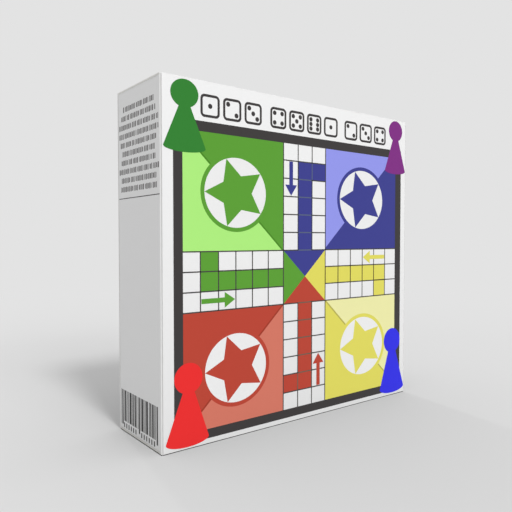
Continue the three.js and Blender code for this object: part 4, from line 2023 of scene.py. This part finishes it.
@dataclass
class Studio:
    """The camera, the floor, the air and the lamps, at the photograph's angle and in its light."""

    camera_place: Place = (-0.2578, -0.3105, 0.1254)
    camera_yaw: float = math.radians(37.449)
    camera_pitch: float = math.radians(-1.775)
    lens: float = 38.505
    sensor: float = 36.0
    backdrop: Colour = (227, 227, 227)
    floor_colour: Colour = (228, 228, 228)
    floor_radius: float = 6.0
    fade_start: float = 0.37
    fade_end: float = 0.95
    air: float = 0.65
    lamps: tuple[Lamp, ...] = (
        Lamp("key_lamp", 1.06, 12.0, (-0.057, -0.676, 0.735)),
        Lamp("low_lamp", 0.53, 30.0, (0.05, -0.87, 0.5)),
        Lamp("top_lamp", 0.25, 40.0, (0.2, -0.15, 0.97)),
        Lamp("rear_lamp", 0.15, 2.0, (0.113, 0.632, 0.766)),
    )

    def build(self) -> None:
        """Makes the whole studio, with soft lamps in front and above and a faint, crisp one behind."""
        self.camera()
        self.floor()
        self.world()
        for lamp in self.lamps:
            lamp.hang()

    def camera(self) -> None:
        """The camera at the photograph's angle."""
        data = bpy.data.cameras.new("camera")
        data.lens, data.sensor_width = self.lens, self.sensor
        made = bpy.data.objects.new("camera", data)
        look = Vector((math.sin(self.camera_yaw) * math.cos(self.camera_pitch),
                       math.cos(self.camera_yaw) * math.cos(self.camera_pitch), math.sin(self.camera_pitch)))
        made.location = self.camera_place
        made.rotation_mode = "QUATERNION"
        made.rotation_quaternion = look.to_track_quat("-Z", "Y")
        bpy.context.scene.collection.objects.link(made)
        bpy.context.scene.camera = made
        log.info("camera: lens %.2f mm", self.lens)

    def floor(self) -> None:
        """A pale floor that fades into the backdrop away from the box."""
        mesh = bmesh.new()
        bmesh.ops.create_circle(mesh, cap_ends=True, segments=96, radius=self.floor_radius)
        data = bpy.data.meshes.new("floor")
        mesh.to_mesh(data)
        mesh.free()
        floor = bpy.data.objects.new("floor", data)
        bpy.context.scene.collection.objects.link(floor)
        data.materials.append(self.floor_material())
        log.info("floor: radius %.1f m", self.floor_radius)

    def floor_material(self) -> Material:
        """A matt grey that turns into the backdrop's own light with distance, for the camera alone.

        Returns:
            The material.
        """
        material = bpy.data.materials.new("studio_floor")
        material.use_nodes = True
        bench = NodeBench(material.node_tree)
        output = bench.place("ShaderNodeOutputMaterial")
        matt = bench.place("ShaderNodeBsdfDiffuse")
        matt.inputs["Color"].default_value = linear(self.floor_colour)
        glow = bench.place("ShaderNodeEmission")
        glow.inputs["Color"].default_value = linear(self.backdrop)
        place = bench.place("ShaderNodeTexCoord")
        length = bench.place("ShaderNodeVectorMath", operation="LENGTH")
        bench.join(place.outputs["Object"], length.inputs[0])
        near = bench.place("ShaderNodeMapRange")
        near.inputs["From Min"].default_value = self.fade_end
        near.inputs["From Max"].default_value = self.fade_start
        bench.join(length.outputs["Value"], near.inputs["Value"])
        fade = bench.maths("SUBTRACT", 1.0, bench.maths("MULTIPLY", near.outputs[0], near.outputs[0]))
        seen = bench.place("ShaderNodeLightPath")
        share = bench.maths("MULTIPLY", fade, seen.outputs["Is Camera Ray"])
        mix = bench.place("ShaderNodeMixShader")
        bench.join(share, mix.inputs[0])
        bench.join(matt.outputs[0], mix.inputs[1])
        bench.join(glow.outputs[0], mix.inputs[2])
        bench.join(mix.outputs[0], output.inputs["Surface"])
        return material

    def world(self) -> None:
        """Even air light, with the backdrop's colour where the camera or a gloss sees it."""
        world = bpy.data.worlds.new("studio_air")
        bpy.context.scene.world = world
        world.use_nodes = True
        bench = NodeBench(world.node_tree)
        output = bench.place("ShaderNodeOutputWorld")
        air = bench.place("ShaderNodeBackground")
        air.inputs["Strength"].default_value = self.air
        backdrop = bench.place("ShaderNodeBackground")
        backdrop.inputs["Color"].default_value = linear(self.backdrop)
        path = bench.place("ShaderNodeLightPath")
        seen = bench.maths("ADD", path.outputs["Is Camera Ray"], path.outputs["Is Glossy Ray"])
        seen = bench.maths("ADD", seen, path.outputs["Is Transmission Ray"], clamp=True)
        mix = bench.place("ShaderNodeMixShader")
        bench.join(seen, mix.inputs[0])
        bench.join(air.outputs[0], mix.inputs[1])
        bench.join(backdrop.outputs[0], mix.inputs[2])
        bench.join(mix.outputs[0], output.inputs["Surface"])
        log.info("air: strength %.2f", self.air)


def main() -> None:
    """Builds the studio and every sub-assembly in order."""
    logging.basicConfig(level=logging.INFO, format="%(name)s: %(message)s")
    bpy.context.scene.view_settings.view_transform = "Standard"
    for part in (Studio(), Carton(), TopClosure(), BoardPrint(), SidePrint(), PieceStand(), FoldedBoard(),
                 RulesLeaflet(), PawnSet(), DicePair()):
        log.info("building %s", type(part).__name__)
        part.build()


if __name__ == "__main__":
    main()
